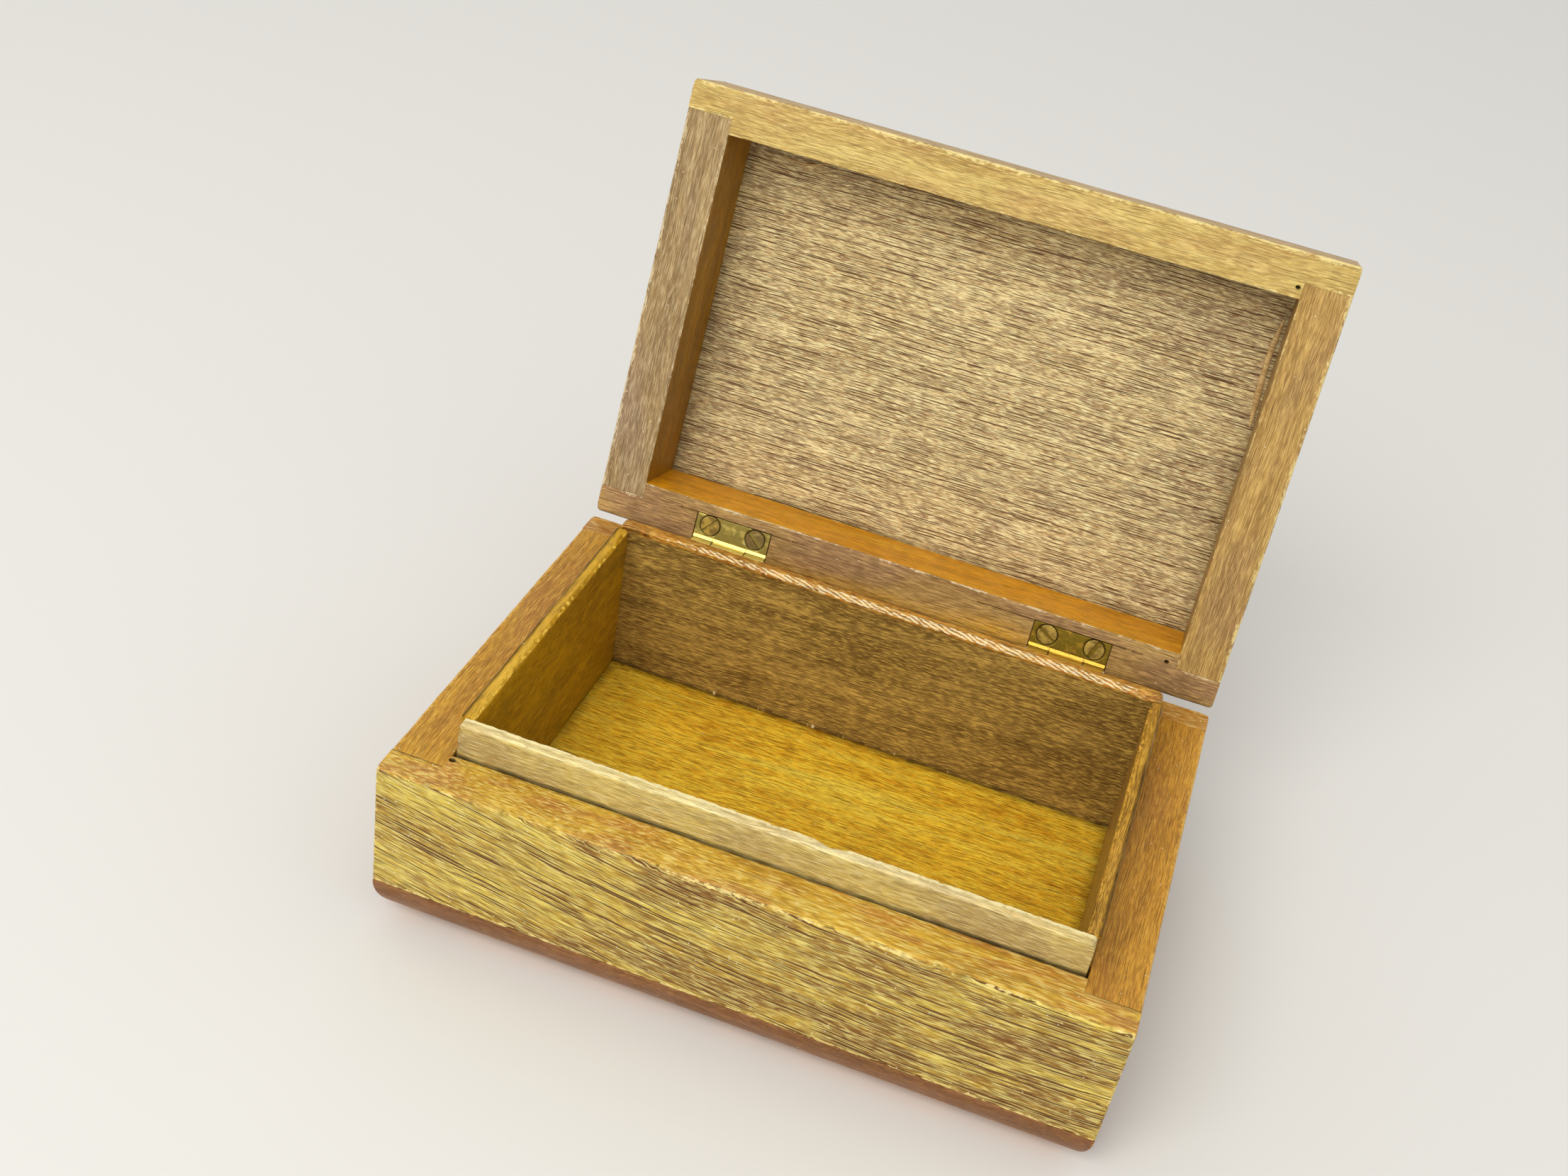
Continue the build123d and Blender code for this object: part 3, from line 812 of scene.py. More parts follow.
top = rim_z + back_proud
points, low, high = liner(long, top - bottom_thick, (inner_d - liner_thick) / 2, True, pitch=0.3)
x, y, z = np.moveaxis(points, -1, 0)
points = eased(points, low, high, 0.2)
points = round_ends(points, long / 2, top, corner_round)
slant, stripe_pitch = 2.4, 2.7        # the splintered stripes lean along the strip and repeat
wave = (x + slant * (z + y)) * 2 * math.pi / stripe_pitch + 6.0 * jagged(x, 3.1, 80)
ridges = 0.5 + 0.5 * np.sin(wave)
cut = 0.36 + 0.34 * np.clip((x + 58) / 40, 0, 1) + 0.08 * jagged(x, 2.3, 81)
cut = cut + 0.05 * ridges + 0.12 * sparse(x, 2.2, 82, 0.15) + 0.3 * sparse(x, 0.9, 84, 0.4) * (x > 56)
inner_top = (0, inner_d / 2 - liner_thick, top)
past_bevel = (points - inner_top) @ np.array([0, -1, 1]) / math.sqrt(2) + cut
on_bevel = np.clip(past_bevel / 0.06 + 1, 0, 1)
points = bevelled(points, (0, -1, 1), inner_top, cut)
points = bevelled(points, (0, 1, 1), (0, inner_d / 2, top), 0.08 + 0.06 * jagged(x, 1.9, 83))
foot = np.clip(1 - (points[..., 2] - bottom_thick) / 1.4, 0, 1)
dust = sparse(x, 0.5, 85, 0.12) * (points[..., 2] < bottom_thick + 1.1)
stripes = np.clip(1.5 * ridges * (0.45 + 0.75 * jagged(x, 1.7, 86)) - 0.2, 0, 1)
fade = np.clip((x + 62) / 16, 0.25, 1) * np.clip((66 - x) / 12, 0.4, 1)
back_liner_finish = stained_wood(
    "back_liner_stain", 59, ("#7e6030", "#a48444", "#caa456"), ("#a8641a", "#c68226", "#e0a23c"),
    pore="#42260c", worn="#fbecc0", pore_size=(7.0, 0.46), pore_share=1.15, figure=(60, 2.4),
    fibre_size=(7, 0.3), streak=(0.55, 0.4), glint="#dcb85c", patch=("#5e4018", "#a8683a"),
    patch_share=(0.6, 0.3), gloss=0.45, rim_gloss=0.42, slope=-0.03, tick_size=(2.0, 0.34), ticks=0.6,
    rim_loud=0.8,
)
shell(
    "back_liner_strip", points, "base", "liner_strips", back_liner_finish, ["back_liner"],
    rim=(points[..., 2] > top - 1.6) * 1.0, grime=np.clip(foot * 0.7 - 2 * dust, 0, 1),
    worn=np.maximum(on_bevel * fade * (0.4 + 0.45 * stripes), dust * 1.2),
    tint=blots(x, z, (-40, 25, 30, 10, -0.3), (50, 25, 18, 8, 0.8)),
)

side_liner_finishes = {
    "left": stained_wood(
        "left_liner_stain", 61, ("#946e04", "#b08204", "#c8980a"), ("#ac7c12", "#c8961c", "#e8b838"),
        pore="#3f2606", worn="#ffd860", streak=(0.3, 0.2), glint="#d6a41c", patch=("#6a4c06", "#a06c1c"),
        turn=(0, 0, 90), pore_share=0.45, fine_share=0.6, gloss=0.4, rim_gloss=0.38, ticks=0.35, rim_loud=1.0,
    ),
    "right": stained_wood(
        "right_liner_stain", 67, ("#6b4c1c", "#806030", "#967440"), ("#885f1c", "#ac7c22", "#ca982e"),
        pore="#3f2606", worn="#e8b04a", turn=(0, 0, 90), pore_share=0.7, gloss=0.45, rim_gloss=0.45,
        ticks=0.45, glint="#f0bc48", rim_loud=0.9, mottle=0.4,
    ),
}
long = inner_d - 2 * liner_thick
top = rim_z + front_proud
bead_pitch = 0.95
for hand, side, seed in (("left", -1, 91), ("right", 1, 101)):
    points, low, high = liner(long, top - bottom_thick, (inner_l - liner_thick) / 2, False)
    x, y, z = np.moveaxis(points, -1, 0)
    upper = near_edge(points, low, high, ["x- z+"], 1.4)
    # Painted shade: the outer top edge is darkened as the line of shade between the strip and the wall's rim.
    outer = np.clip(near_edge(points, low, high, ["x+ z+"], 0.9) * 2, 0, 1)
    points = eased(points, low, high, 0.18 + 0.1 * near_edge(points, low, high, ["x+ z+"], 1.2))
    beads = 0.16 * np.sin(y * 2 * math.pi / bead_pitch + 1.5 * jagged(y, 3.0, seed)) ** 2
    beads = beads + 0.15 * jagged(y, 2.1, seed + 1) + 0.45 * sparse(y, 1.9, seed + 2, 0.16)
    pitted = np.zeros_like(y)
    if hand == "right":
        pitted = sparse(y, 0.75, seed + 6, 0.5) * np.clip((y - 14) / 8, 0, 1)
        beads = beads + 0.9 * pitted
    points = bevelled(points, (-1, 0, 1), (inner_l / 2 - liner_thick, 0, top), 0.3 + beads)
    points = bevelled(points, (1, 0, 1), (inner_l / 2, 0, top), 0.14 + 0.08 * jagged(y, 1.8, seed + 3))
    points[..., 0] *= side
    foot = np.clip(1 - (points[..., 2] - bottom_thick) / 1.4, 0, 1)
    pit_soil = pitted * near_edge(points, low, high, ["x- z+"], 1.2)
    shell(
        hand + "_liner_strip", points, "base", "liner_strips", side_liner_finishes[hand], [hand + "_liner"],
        rim=(points[..., 2] > top - 0.9) * 1.0, worn=upper * (0.25 + 0.6 * jagged(y, 0.9, seed + 4)),
        grime=np.maximum(np.maximum(foot * 0.55, outer * 0.8), pit_soil),
    )

# ---------------------------------------------------------------- lid board
# A solid board like the bottom one, its outer edge rounded over. It is glued on the lid's rails and
# stands open with them, so everything of the lid is worked out closed and then turned open.

open_degrees = 108                    # how far the lid stands open; its grain is worked out closed too
open_turn = math.radians(open_degrees)
pin_y = half_d + pin_behind
rail_high = 20.0
rail_thick, side_rail_thick = 10.0, 10.5
top_thick = 10.0
panel_z = rim_z + rail_high


def opened(points):
    """Points of the closed lid turned back about the hinge pins to where it stands open."""
    y, z = points[..., 1] - pin_y, points[..., 2] - rim_z
    back, up = math.cos(open_turn), math.sin(open_turn)
    return np.stack([points[..., 0], pin_y + y * back + z * up, rim_z - y * up + z * back], -1)


points, low, high = rounded_board(panel_z, top_thick, True)
wear = near_edge(points, low, high, ["x- y-", "x+ y-", "x- y+", "x+ y+"], 1.6)
points = eased(points, low, high, 0.35 + 0.5 * jagged(points[..., 2], 1.3, 103))
x, y, z = np.moveaxis(points, -1, 0)
panel_face = (z < panel_z + 0.3) * 1.0
inside_x = half_l - side_rail_thick - np.abs(x)
inside_y = half_d - rail_thick - np.abs(y)
# Darker and paler patches on the panel, and a painted sheen: the pale patch left of its middle.
panel_patches_and_sheen = panel_face * blots(
    x, y, (45, -33, 26, 7, 0.9), (-5, -35, 16, 5, -0.7), (60, -5, 9, 30, 0.5), (-32, -12, 18, 18, -0.5),
    (-60, 0, 7, 40, 0.5), (40, 28, 24, 12, -0.2),
)
# The panel is painted darker along its borders with the rails.
panel_border_darkening = np.clip(1 - np.abs(np.minimum(inside_x, inside_y)) / 3.2, 0, 1) * panel_face * 0.5
lid_board_finish = stained_wood(
    "lid_board_stain", 73, ("#7e5a2c", "#a07a40", "#b99350"), ("#bc9c6c", "#dec288", "#f4dca2"),
    pore="#5a2c12", worn="#dcb876", turn=(open_degrees, 0, 0), pore_size=(8.0, 0.72), pore_share=1.5,
    fine_share=1.3, figure=(30, 2.6), fibre_size=(6.0, 0.2), tick_size=(2.0, 0.26), streak=(0.3, 0.35),
    glint="#fff6bc", mottle=0.12, waver=1.2, patch=("#7a5030", "#a68868"), patch_share=(0.4, 0.6),
    patch_size=(9, 3.2), rim_loud=1.0, gloss=0.42, rim_gloss=0.36, slope=0.02, relief=1.3, ticks=0.75,
    side_ticks=0.45, unrolled=True,
)
over = y - np.sign(y) * (z - panel_z - top_thick)
shell(
    "lid_board_rounded", opened(points), "lid", "lid_board", lid_board_finish, ["lid_top_board"],
    rim=panel_face, worn=wear * 0.6, grime=panel_border_darkening, tint=panel_patches_and_sheen, over=over, end=board_ends(points),
)

# ---------------------------------------------------------------- glue left on the lid's panel
# Where the rails were glued down, a run of hard brown glue stands along the right side of the panel,
# and a thin curl of varnish near the front left corner.


def run_of_glue(name, path, wide, high_up, finish):
    """A low half-round bead along a smooth line on the panel, thinning to nothing at both ends.

    The line is a running mean of the path's points, and the bead's radius follows half a wave along it.
    """
    rows, ring = 60, 20
    path = np.array(path, float)
    want = np.linspace(0, len(path) - 1, rows)
    weights = np.maximum(1 - np.abs(want[:, None] - np.arange(len(path))[None, :]) / 1.3, 0) ** 1.5
    middle = weights @ path / weights.sum(1, keepdims=True)
    ahead = np.gradient(middle, axis=0)
    side = np.stack([-ahead[:, 1], ahead[:, 0]], -1) / np.linalg.norm(ahead, axis=1, keepdims=True)
    size = np.sin(np.linspace(0.06, math.pi - 0.06, rows)) ** 0.6 * (0.75 + 0.4 * jagged(want, 0.9, 301))
    angle = np.linspace(0, 2 * math.pi, ring, endpoint=False)
    out = np.cos(angle)[None, :] * (wide / 2 * size)[:, None]
    drop = np.maximum(np.sin(angle), -0.12)[None, :] * (high_up * size)[:, None]
    points = np.empty((rows, ring, 3))
    points[..., :2] = middle[:, None, :] + side[:, None, :] * out[..., None]
    points[..., 2] = panel_z - drop
    shell(name, opened(points), "lid", "lid_board", finish, [], rim=0.0, worn=0.0, grime=0.0)


glue_colours = ("#a07c4c", "#bc9862", "#d8b880")
glue_finish = stained_wood(
    "dried_glue", 75, glue_colours, glue_colours, pore="#7a5630", worn="#e8d4a0", turn=(open_degrees, 0, 0),
    pore_share=0.2, fine_share=0.2, streak=(0.2, 0.2), gloss=0.25, relief=0.4,
)
glue_line = [(64.5, -35.5), (64.0, -30), (63.8, -25), (64.0, -20), (64.3, -15), (64.8, -9)]
varnish_curl = [(-57.5, -39.4), (-55, -38.6), (-52.5, -38.4), (-49.5, -38.9), (-45.5, -40.2)]
run_of_glue("lid_glue_run", glue_line, 1.7, 0.55, glue_finish)
run_of_glue("lid_varnish_curl", varnish_curl, 0.7, 0.3, glue_finish)

# ---------------------------------------------------------------- lid rails
# Four boards jointed like the walls, a hair thinner, so that the liner strips slide between them.
# The hinge rail has the pockets for the leaves and the saw's over-cuts beside them.

rail_finishes = {
    "front": stained_wood(
        "lid_front_rail_stain", 79, ("#9a7238", "#b78b48", "#cda55a"), ("#b69450", "#cbac60", "#dcc274"),
        pore="#6b4620", worn="#f4e09a", turn=(open_degrees, 0, 0), pore_share=0.9, rim_loud=0.7,
        glint="#f2dc90", patch=("#8a5a34", "#b98858"), gloss=0.42, rim_gloss=0.4,
    ),
    "back": stained_wood(
        "lid_back_rail_stain", 83, ("#e29a06", "#ffae0a", "#ffbe20"), ("#9a7440", "#b49052", "#cca868"),
        pore="#4e2a10", worn="#ecd8b0", turn=(open_degrees, 0, 0), pore_share=0.8, rim_loud=0.85,
        glint="#e8bc78", side_glint="#f4ac1c", outer=bare_wood, streak=(0.4, 0.2),
        patch=("#c87c08", "#9c7658"), patch_share=(0.35, 0.75), gloss=0.4, rim_gloss=0.42, fine_share=0.9,
        mottle=0.2,
    ),
    "left": stained_wood(
        "lid_left_rail_stain", 89, ("#845806", "#9e6e08", "#b4840e"), ("#8e734c", "#a3865a", "#b69b6c"),
        pore="#54381c", worn="#dcc8a0", turn=(open_degrees, 0, 90), pore_share=0.85, rim_loud=0.7,
        glint="#d8c49a", side_glint="#b07e08", outer=bare_wood, streak=(0.45, 0.35),
        patch=("#744c08", "#94796a"), patch_share=(0.4, 0.6), gloss=0.42, rim_gloss=0.42,
    ),
    "right": stained_wood(
        "lid_right_rail_stain", 97, ("#7a5628", "#946c34", "#ad8444"), ("#a07a3e", "#b89151", "#cfa960"),
        pore="#5a3c1c", worn="#e8d290", turn=(open_degrees, 0, 90), pore_share=0.9, rim_loud=0.7,
        glint="#e2c078", patch=("#7a5228", "#96704e"), patch_share=(0.4, 0.6), gloss=0.42, rim_gloss=0.42,
    ),
}

rail_holes = {"front": (64.4, 43.9), "back": (63.1, 44.1)}
kerf_half, kerf_deep = 0.13, 0.6      # half the width of the saw's cut, and its depth
kerf_runs = ((-55.9, -51.5), (-32.9, -28.4), (-27.8, -24.6), (17.9, 31.8), (50.4, 53.6), (55.0, 57.6))
kerf_y = half_d - leaf_wide - 0.1
kerf_ys = [kerf_y + side * (kerf_half + d) for side in (-1, 1) for d in (-0.04, 0.04)]
kerf_xs = [x + d for run in kerf_runs for x in run for d in (-step, step)]


def nicked(place, seed):
    """How far a rail's inner edge is chipped back along it."""
    return 0.08 + 0.1 * jagged(place, 1.1, seed) + 0.12 * sparse(place, 1.6, seed + 1, 0.2)


for hand, seed in (("front", 111), ("back", 121)):
    front = hand == "front"
    hole_x, hole_y = rail_holes[hand]
    more_x = [round_about(hole_x)] + ([] if front else [pocket_xs, kerf_xs])
    more_y = [round_about(hole_y)] + ([] if front else [pocket_ys, kerf_ys])
    points, low, high = long_board(rim_z, panel_z, rail_thick, side_rail_thick, more_x=more_x, more_y=more_y)
    x, y, z = np.moveaxis(points, -1, 0)
    rim_out = near_edge(points, low, high, ["y+ z-"], 2.0)
    rim_in = near_edge(points, low, high, ["y- z-"], 1.3)
    corners = near_edge(points, low, high, ["x- y+", "x+ y+"], 1.8)
    points = eased(points, low, high, 0.14 + 0.25 * rim_out + 0.5 * corners)
    rub = 0.12 + 0.12 * jagged(x, 3.1, seed) + 0.14 * jagged(x, 0.9, seed + 1)
    points = bevelled(points, (0, 1, -1), (0, half_d, rim_z), rub)
    points = bevelled(points, (0, -1, -1), (0, half_d - rail_thick, rim_z), nicked(x, seed + 2))
    wear = rim_out * (0.5 + 0.5 * jagged(x, 2.6, seed + 4))
    wear = np.maximum(wear, rim_in * (0.35 + 0.5 * jagged(x, 2.2, seed + 5)))
    wear = np.maximum(wear, corners * (0.4 + 0.5 * jagged(z, 1.9, seed + 6)))
    rim_face = (points[..., 2] < rim_z + rim_stain) * 1.0
    rail_tint, rail_soil_and_shade = 0.0, 0.0
    if front:
        points = mirrored(points)
    else:
        wear = wear * (1 - np.clip(rim_out * 1.5, 0, 1))
        knot = blots(x, z, (22.5, 50.5, 1.2, 0.6, 1.0)) * (np.abs(y - half_d + rail_thick) < 0.3)
        # Painted shade along the rail's outer edge beside the liner, with the dark knot and a darker patch on
        # the rim near its right end.
        rail_soil_and_shade = np.maximum(0.4 * rim_out, 0.8 * knot) + 0.3 * rim_face * blots(x, y, (66, 49, 9, 5, 1.0))
        rail_tint = rim_face * blots(
            x, y, (-68, 46, 12, 8, 1.0), (-10, 43, 26, 2.5, 0.4), (0, 51.5, 46, 3, -0.6),
            (64, 48, 12, 6, 0.6), (-58, 50, 6, 3, 0.5), (24, 49, 10, 3, -0.5), (20, 43, 30, 2, 0.4),
        )
        in_kerf = (np.abs(y - kerf_y) < kerf_half) & (points[..., 2] < rim_z + kerf_deep)
        for start, end in kerf_runs:
            cut = in_kerf & (x > start) & (x < end)
            points[..., 2] = np.where(cut, rim_z + kerf_deep, points[..., 2])
        points = pocketed(points, 1)
    points, hole_dark = pricked(points, hole_x, -hole_y if front else hole_y, 0.55, 1.4, 1)
    outside = (np.maximum(np.abs(x) - half_l, np.abs(points[..., 1]) - half_d) > -end_grain) * 1.0
    shell(
        "lid_" + hand + "_rail_board", opened(points), "lid", "lid_rails", rail_finishes[hand],
        ["lid_" + hand + "_rail"], rim=rim_face, worn=wear, grime=np.maximum(hole_dark * 0.95, rail_soil_and_shade),
        tint=rail_tint, outside=outside, end=(np.abs(x) > half_l - end_grain) * 1.0,
    )

for hand, side, seed in (("left", -1, 131), ("right", 1, 141)):
    points, low, high = side_board(rim_z, panel_z, side_rail_thick)
    x, y, z = np.moveaxis(points, -1, 0)
    rim_out = near_edge(points, low, high, ["x+ z-"], 2.0)
    rim_in = near_edge(points, low, high, ["x- z-"], 1.3)
    points = eased(points, low, high, 0.12 + 0.2 * rim_out)
    points = bevelled(points, (1, 0, -1), (half_l, 0, rim_z), handled(y, seed))
    points = bevelled(points, (-1, 0, -1), (half_l - side_rail_thick, 0, rim_z), nicked(y, seed + 2))
    wear = rim_out * (0.5 + 0.5 * jagged(y, 2.4, seed + 4))
    wear = np.maximum(wear, rim_in * (0.3 + 0.45 * jagged(y, 2.2, seed + 5)))
    rim_face = (points[..., 2] < rim_z + rim_stain) * 1.0
    points[..., 0] *= side
    shell(
        "lid_" + hand + "_rail_board", opened(points), "lid", "lid_rails", rail_finishes[hand],
        ["lid_" + hand + "_rail"], rim=rim_face, worn=wear, grime=0.0,
        outside=(x > half_l - end_grain) * 1.0,
    )

# ---------------------------------------------------------------- hinge leaves
# Two small brass butt hinges, aged olive and rubbed bright, with a painted highlight along the knuckles.
# Each leaf is a strip of sheet brass sunk in its rim, one end rolled round the pin: the middle knuckle on
# the lid's leaf, the two outer ones on the base's.

middle_knuckle = 8.3
knuckle_gap = 0.1
leaf_sunk = 0.05
roll_thick = 0.9
screw_back = 4.8
screw_in = 3.5
edge_strip = 0.12                     # beside the knuckles, the strip's last stations crowd into this much
head_r = 2.35
dish_deep = 0.45                      # the screws' heads sit this much below the leaf's face
roll_r = knuckle_r - roll_thick / 2
roll_turn = math.radians(285)         # how far the sheet goes round the pin
bend_wide, bend_deep = 0.75, 0.3      # the sheet dips a little where it turns up into the knuckle
bend_room = 0.1                       # the flat of the strip ends this far before the knuckle


def brass(name, seed, clean, aged, dark, gloss=0.32, aged_share=0.5, metal=0.9):
    """Brass that has darkened in patches: metal, with fine scratches, and dirt where the mesh is marked."""
    finish, tree, place = new_finish(name)
    patch = noise(place, (3.0, 2.2), seed, detail=6.0, rough=0.6)
    fine = noise(place, (2.5, 0.12), seed + 1, detail=3.0)
    spots = noise(place, (0.35, 0.35), seed + 2, detail=4.0)
    old = ranged(patch, 0.62 - 0.3 * aged_share, 0.78 - 0.3 * aged_share)
    # Bright where marked worn: rubbed brass, and on the hinge knuckles a painted highlight too.
    rubbed = ranged(mark(tree, "worn") + patch * 0.5, 0.7, 1.0)
    old = old * ranged(rubbed, 0.0, 1.0, 1.0, 0.1)
    tone = blended(old, colour(clean), colour(aged))
    tone = blended(ranged(spots, 0.6, 0.72, 0.0, 0.7), tone, colour(dark))
    tone = blended(mark(tree, "grime") * 0.9, tone, colour(dark))
    dull = ranged(old, 0.0, 1.0, gloss, gloss + 0.2) + fine * 0.12
    bump = made(tree, "Bump", 0, {"Height": fine * 0.5 + spots, "Strength": 0.35, "Distance": 0.00005})
    inputs = {"Base Color": tone, "Metallic": metal, "Roughness": dull, "Normal": bump}
    shader = add(tree, "BsdfPrincipled", inputs)
    add(tree, "OutputMaterial", {"Surface": shader.outputs[0]})
    return finish


def screw_distance(points):
    """How far each point of the flat strip is from the middle of its nearer screw."""
    along = np.abs(points[..., 0]) - (leaf_long / 2 - screw_in)
    return np.hypot(along, points[..., 1] - (leaf_wide - screw_back))


def hinge_leaf(tabs):
    """A leaf as a flat strip: X along the pin, then the distance from its inner edge, then the thickness.

    tabs are the runs of X, from the leaf's middle, where the strip is long enough to be rolled as a knuckle.
    Beside them it stops at flat_end, and the stations that are left over crowd into the last edge_strip.
    """
    ends = [edge + d for run in tabs for edge in run for d in (-step, step)]
    along = stations(-leaf_long / 2, leaf_long / 2, 0.22, [e for e in ends if abs(e) < leaf_long / 2])
    flat_end = leaf_wide + pin_behind - knuckle_r - bend_room
    roll_end = flat_end + knuckle_r + roll_turn * roll_r
    reach = np.full(along.shape, flat_end)
    for start, end in tabs:
        reach = np.where((along > start) & (along < end), roll_end, reach)
    flat = stations(0, flat_end, 0.1) / roll_end
    rolled = np.linspace(flat_end, roll_end, 34)[1:] / roll_end
    across = np.concatenate([flat, rolled])
    up = stations(0, leaf_thick, 0.3) / leaf_thick
    points, low, high = carried(along, across, up, 0.0, reach, 0.0, leaf_thick)
    full = points[..., 1] * roll_end / flat_end
    strip_start = flat_end - edge_strip
    crowded = strip_start + edge_strip * (full - strip_start) / (roll_end - strip_start)
    cut_short = high[..., 1] < flat_end + step
    points[..., 1] = np.where(cut_short, np.minimum(full, crowded), points[..., 1])
    points = eased(points, low, high, 0.1)
    sunk = np.clip((head_r + 0.3 - screw_distance(points)) / 0.35, 0, 1) * dish_deep
    to_roll = (flat_end - points[..., 1]) / bend_wide
    bend = np.minimum(to_roll, (1.35 - to_roll) / 0.35)
    bend = np.where((to_roll > 0) & (to_roll < 1.35), bend, 0.0) * bend_deep
    for dip in (sunk, bend):
        on_face = points[..., 2] < leaf_thick / 2
        points[..., 2] = np.where(on_face, np.maximum(points[..., 2], dip), points[..., 2])
    return points, flat_end


def rolled_up(points, flat_end):
    """The strip's end bent: beyond flat_end it rises onto a circle round the pin and follows it."""
    out, through = points[..., 1], points[..., 2]
    start = flat_end + knuckle_r
    angle = math.pi / 2 - np.maximum(out - start, 0) / roll_r
    radius = knuckle_r - roll_thick * (1 - through / leaf_thick)
    circle_y = pin_y + radius * np.cos(angle)
    circle_z = rim_z + radius * np.sin(angle)
    flat_y = half_d - leaf_wide + out
    flat_z = rim_z + leaf_sunk + through
    run = np.clip((out - flat_end) / knuckle_r, 0, 1)
    rise = run * run * (3 - 2 * run)
    bend_y = (1 - run) * flat_y + run * circle_y
    bend_z = (1 - rise) * flat_z + rise * circle_z
    y = np.where(out <= flat_end, flat_y, np.where(out < start, bend_y, circle_y))
    z = np.where(out <= flat_end, flat_z, np.where(out < start, bend_z, circle_z))
    return np.stack([points[..., 0], y, z], -1)


half_middle = middle_knuckle / 2
lid_tabs = [(-half_middle + knuckle_gap, half_middle - knuckle_gap)]
base_tabs = [(-leaf_long, -half_middle), (half_middle, leaf_long)]
# The leaves are less metallic, so that the painted highlight along their knuckles shows bright yellow.
leaf_finishes = {
    "left": brass("left_leaf_brass", 201, "#f6e27c", "#a8964a", "#3f3212", aged_share=0.95, metal=0.7),
    "right": brass("right_leaf_brass", 207, "#dcb040", "#8e761e", "#3f3212", aged_share=1.0, metal=0.7),
}
for hand, centre in zip(("left", "right"), hinge_xs):
    for body, tabs in (("lid", lid_tabs), ("base", base_tabs)):
        flat, flat_end = hinge_leaf(tabs)
        points = rolled_up(flat, flat_end)
        points[..., 0] += centre
        along, out = flat[..., 0], flat[..., 1]
        # Painted highlight: the bend and the knuckle are marked bright, partly rubbed brass and partly the
        # light that a rolled edge catches.
        rubbed = np.clip((out - flat_end + bend_wide + 0.1) / 0.15, 0, 1)
        if hand == "left":
            bright_spots = blots(along, out, (-7.8, 5.0, 1.1, 0.9, 0.9), (6.2, 4.9, 2.2, 0.7, 0.7))
            rubbed = np.maximum(rubbed, bright_spots)
        soil = np.clip(1 - np.abs(screw_distance(flat) - head_r) / 0.35, 0, 1)
        seam = np.clip(1 - np.abs(np.abs(along) - half_middle) / 0.25, 0, 1)
        soil = np.maximum(soil, seam * (out > flat_end - bend_wide))
        if body == "lid":
            points = opened(points)
        else:
            points[..., 2] = 2 * rim_z - points[..., 2]
        node = hand + "_hinge_" + body + "_leaf"
        shell(
            node + "_rolled", points, body, "brass_leaves", leaf_finishes[hand], [node],
            worn=rubbed, grime=soil,
        )

# ---------------------------------------------------------------- hinge pins
# A brass wire pin through each hinge's knuckles, its ends filed to a slight dome.

pin_r = 1.05
dome_high = 0.15


def turned_piece(radii, heights, sides):
    """A profile of radius by height turned round the Z axis."""
    angle = np.linspace(0, 2 * math.pi, sides, endpoint=False)
    radii, heights = np.array(radii)[:, None], np.array(heights)[:, None]
    return np.stack([radii * np.cos(angle), radii * np.sin(angle), heights + 0 * angle], -1)


pin_finish = brass("pin_brass", 221, "#c9a544", "#9c8238", "#4a3a16", gloss=0.28)
dome = np.linspace(0.05, 1, 8) * math.pi / 2
dome_r = pin_r * np.sin(dome)
dome_ends = leaf_long / 2 - dome_high + dome_high * np.cos(dome)
straight = np.linspace(-leaf_long / 2 + 0.2, leaf_long / 2 - 0.2, 24)
radii = np.concatenate([dome_r, np.full(len(straight), pin_r), dome_r[::-1]])
places = np.concatenate([-dome_ends, straight, dome_ends[::-1]])
pin = turned_piece(radii, places, sides=28)
for hand, centre in zip(("left", "right"), hinge_xs):
    points = np.stack([pin[..., 2] + centre, pin[..., 0] + pin_y, pin[..., 1] + rim_z], -1)
    shell(
        hand + "_hinge_pin_wire", points, "base", "brass_pins", pin_finish, [hand + "_hinge_pin"],
        worn=0.5, grime=0.0,
    )

# ---------------------------------------------------------------- hinge screws
# Slotted countersunk brass wood screws, two to a leaf, driven by hand, so each slot stopped where it would.

screw_long = 8.0
head_high = 1.35
head_fall = 0.1                       # the head's rim falls away by this much
slot_deep = 0.6
neck_r, core_r = 0.8, 0.78            # the shank under the head, and between the turns of the thread
plain_neck = 0.6
thread_pitch, thread_high = 0.9, 0.2
screw_point = 2.0
# how each slot stopped, in degrees from +X, and how wide the driver has worn it; left screw, right screw
slots = {
    "left_hinge_base": ((20, 0.7), (75, 0.7)),
    "left_hinge_lid": ((48, 0.62), (139, 0.85)),
    "right_hinge_base": ((100, 0.7), (150, 0.7)),
    "right_hinge_lid": ((151, 0.6), (68, 0.9)),
}


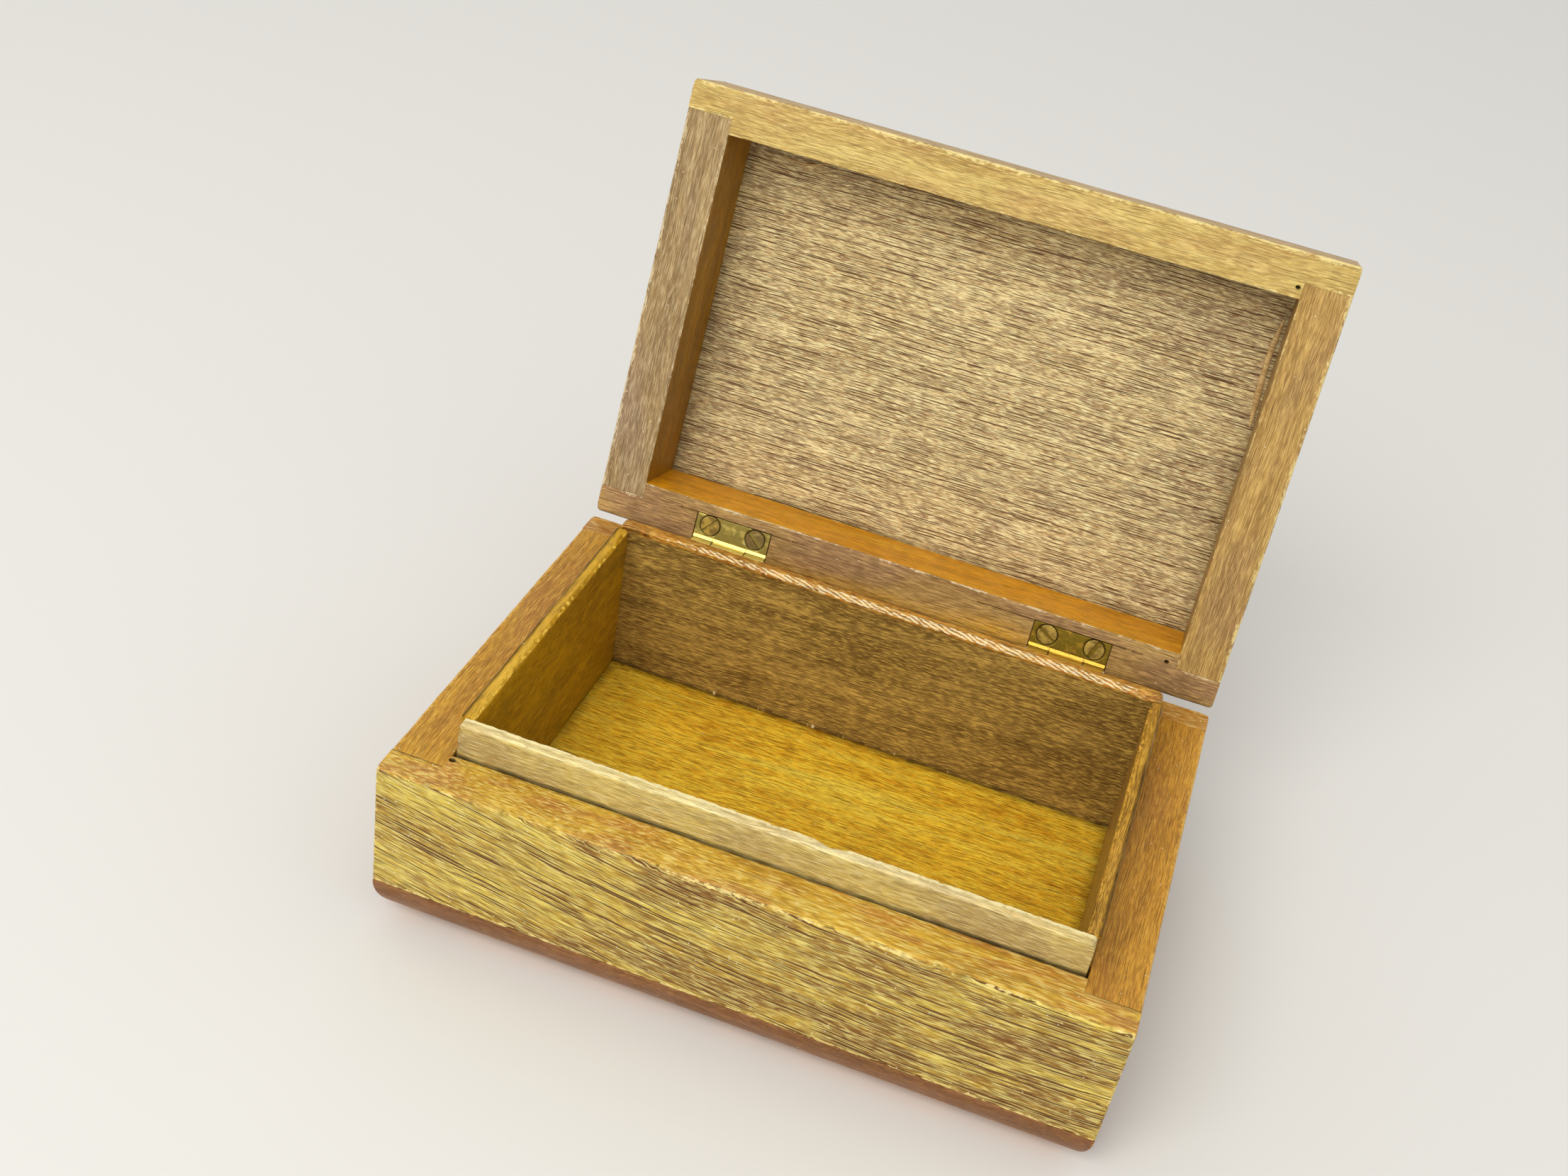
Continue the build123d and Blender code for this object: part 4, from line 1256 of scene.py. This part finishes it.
def screw_body(turn_degrees, wide):
    """A screw pointing down, its head's top at 0, turned from a profile: out over the head, down its cone and
    along the shank. The thread is a ridge that climbs one pitch in a turn, the slot a straight trough.
    """
    rings_r, rings_z = [], []
    out = np.concatenate([np.linspace(0.04, 0.9, 26), [0.94, 0.97, 0.985, 1.0]]) * head_r
    rings_r += list(out)
    rings_z += list(-head_fall * np.clip((out / head_r - 0.93) / 0.07, 0, 1) ** 2)
    down = np.linspace(0, 1, 12)[1:]
    rings_r += list(head_r + (neck_r - head_r) * down)
    rings_z += list(-head_fall - (head_high - head_fall) * down)
    lower = np.linspace(head_high, screw_long - 0.02, 60)[1:]
    taper = np.clip((screw_long - lower) / screw_point, 0.02, 1)
    rings_r += list(core_r * taper)
    rings_z += list(-lower)
    points = turned_piece(rings_r, rings_z, sides=144)
    radius = np.hypot(points[..., 0], points[..., 1])
    angle = np.arctan2(points[..., 1], points[..., 0])
    climb = (points[..., 2] / thread_pitch - angle / (2 * math.pi)) % 1.0
    ridge = np.clip(1 - np.abs(climb - 0.5) / 0.22, 0, 1) * thread_high
    fade = np.clip((screw_long + points[..., 2]) / screw_point, 0, 1)
    threaded = (points[..., 2] < -head_high - plain_neck) * fade
    grow = 1 + ridge * threaded / np.maximum(radius, 0.05)
    points[..., :2] *= grow[..., None]
    turned_to = math.radians(turn_degrees)
    across = points[..., 1] * math.cos(turned_to) - points[..., 0] * math.sin(turned_to)
    trough = -slot_deep * np.clip((wide / 2 + 0.06 - np.abs(across)) / 0.12, 0, 1)
    on_head = points[..., 2] > -head_high
    points[..., 2] = np.where(on_head, np.minimum(points[..., 2], trough), points[..., 2])
    soil = np.clip((wide / 2 - np.abs(across)) / 0.1, 0, 1) * on_head
    soil = np.maximum(soil, np.clip((radius / head_r - 0.94) / 0.06, 0, 1) * on_head)
    return points, soil


screw_finishes = {
    "bright": brass(
        "bright_screw_brass", 231, "#dabb58", "#937636", "#3c2e14", gloss=0.34, aged_share=0.7, metal=0.55,
    ),
    "dark": brass(
        "dark_screw_brass", 237, "#c4ac68", "#8c7440", "#2c2010", gloss=0.38, aged_share=0.9, metal=0.55,
    ),
}
for hinge_name, centre in (("left_hinge", hinge_xs[0]), ("right_hinge", hinge_xs[1])):
    for body in ("base", "lid"):
        for (turn_degrees, wide), side in zip(slots[hinge_name + "_" + body], (-1, 1)):
            points, soil = screw_body(turn_degrees, wide)
            place = "outer" if side * centre > 0 else "inner"
            up = 1 if body == "lid" else -1
            at = [centre + side * (leaf_long / 2 - screw_in), half_d - screw_back, rim_z + up * leaf_sunk]
            points = points * [1, -up, -up] + at
            if body == "lid":
                points = opened(points)
            kind = "dark" if (hinge_name, body, side) == ("left_hinge", "lid", 1) else "bright"
            node = hinge_name + "_" + body + "_screw_" + place
            shell(
                node + "_cut", points, body, "brass_screws", screw_finishes[kind], [node],
                worn=0.3, grime=soil,
            )
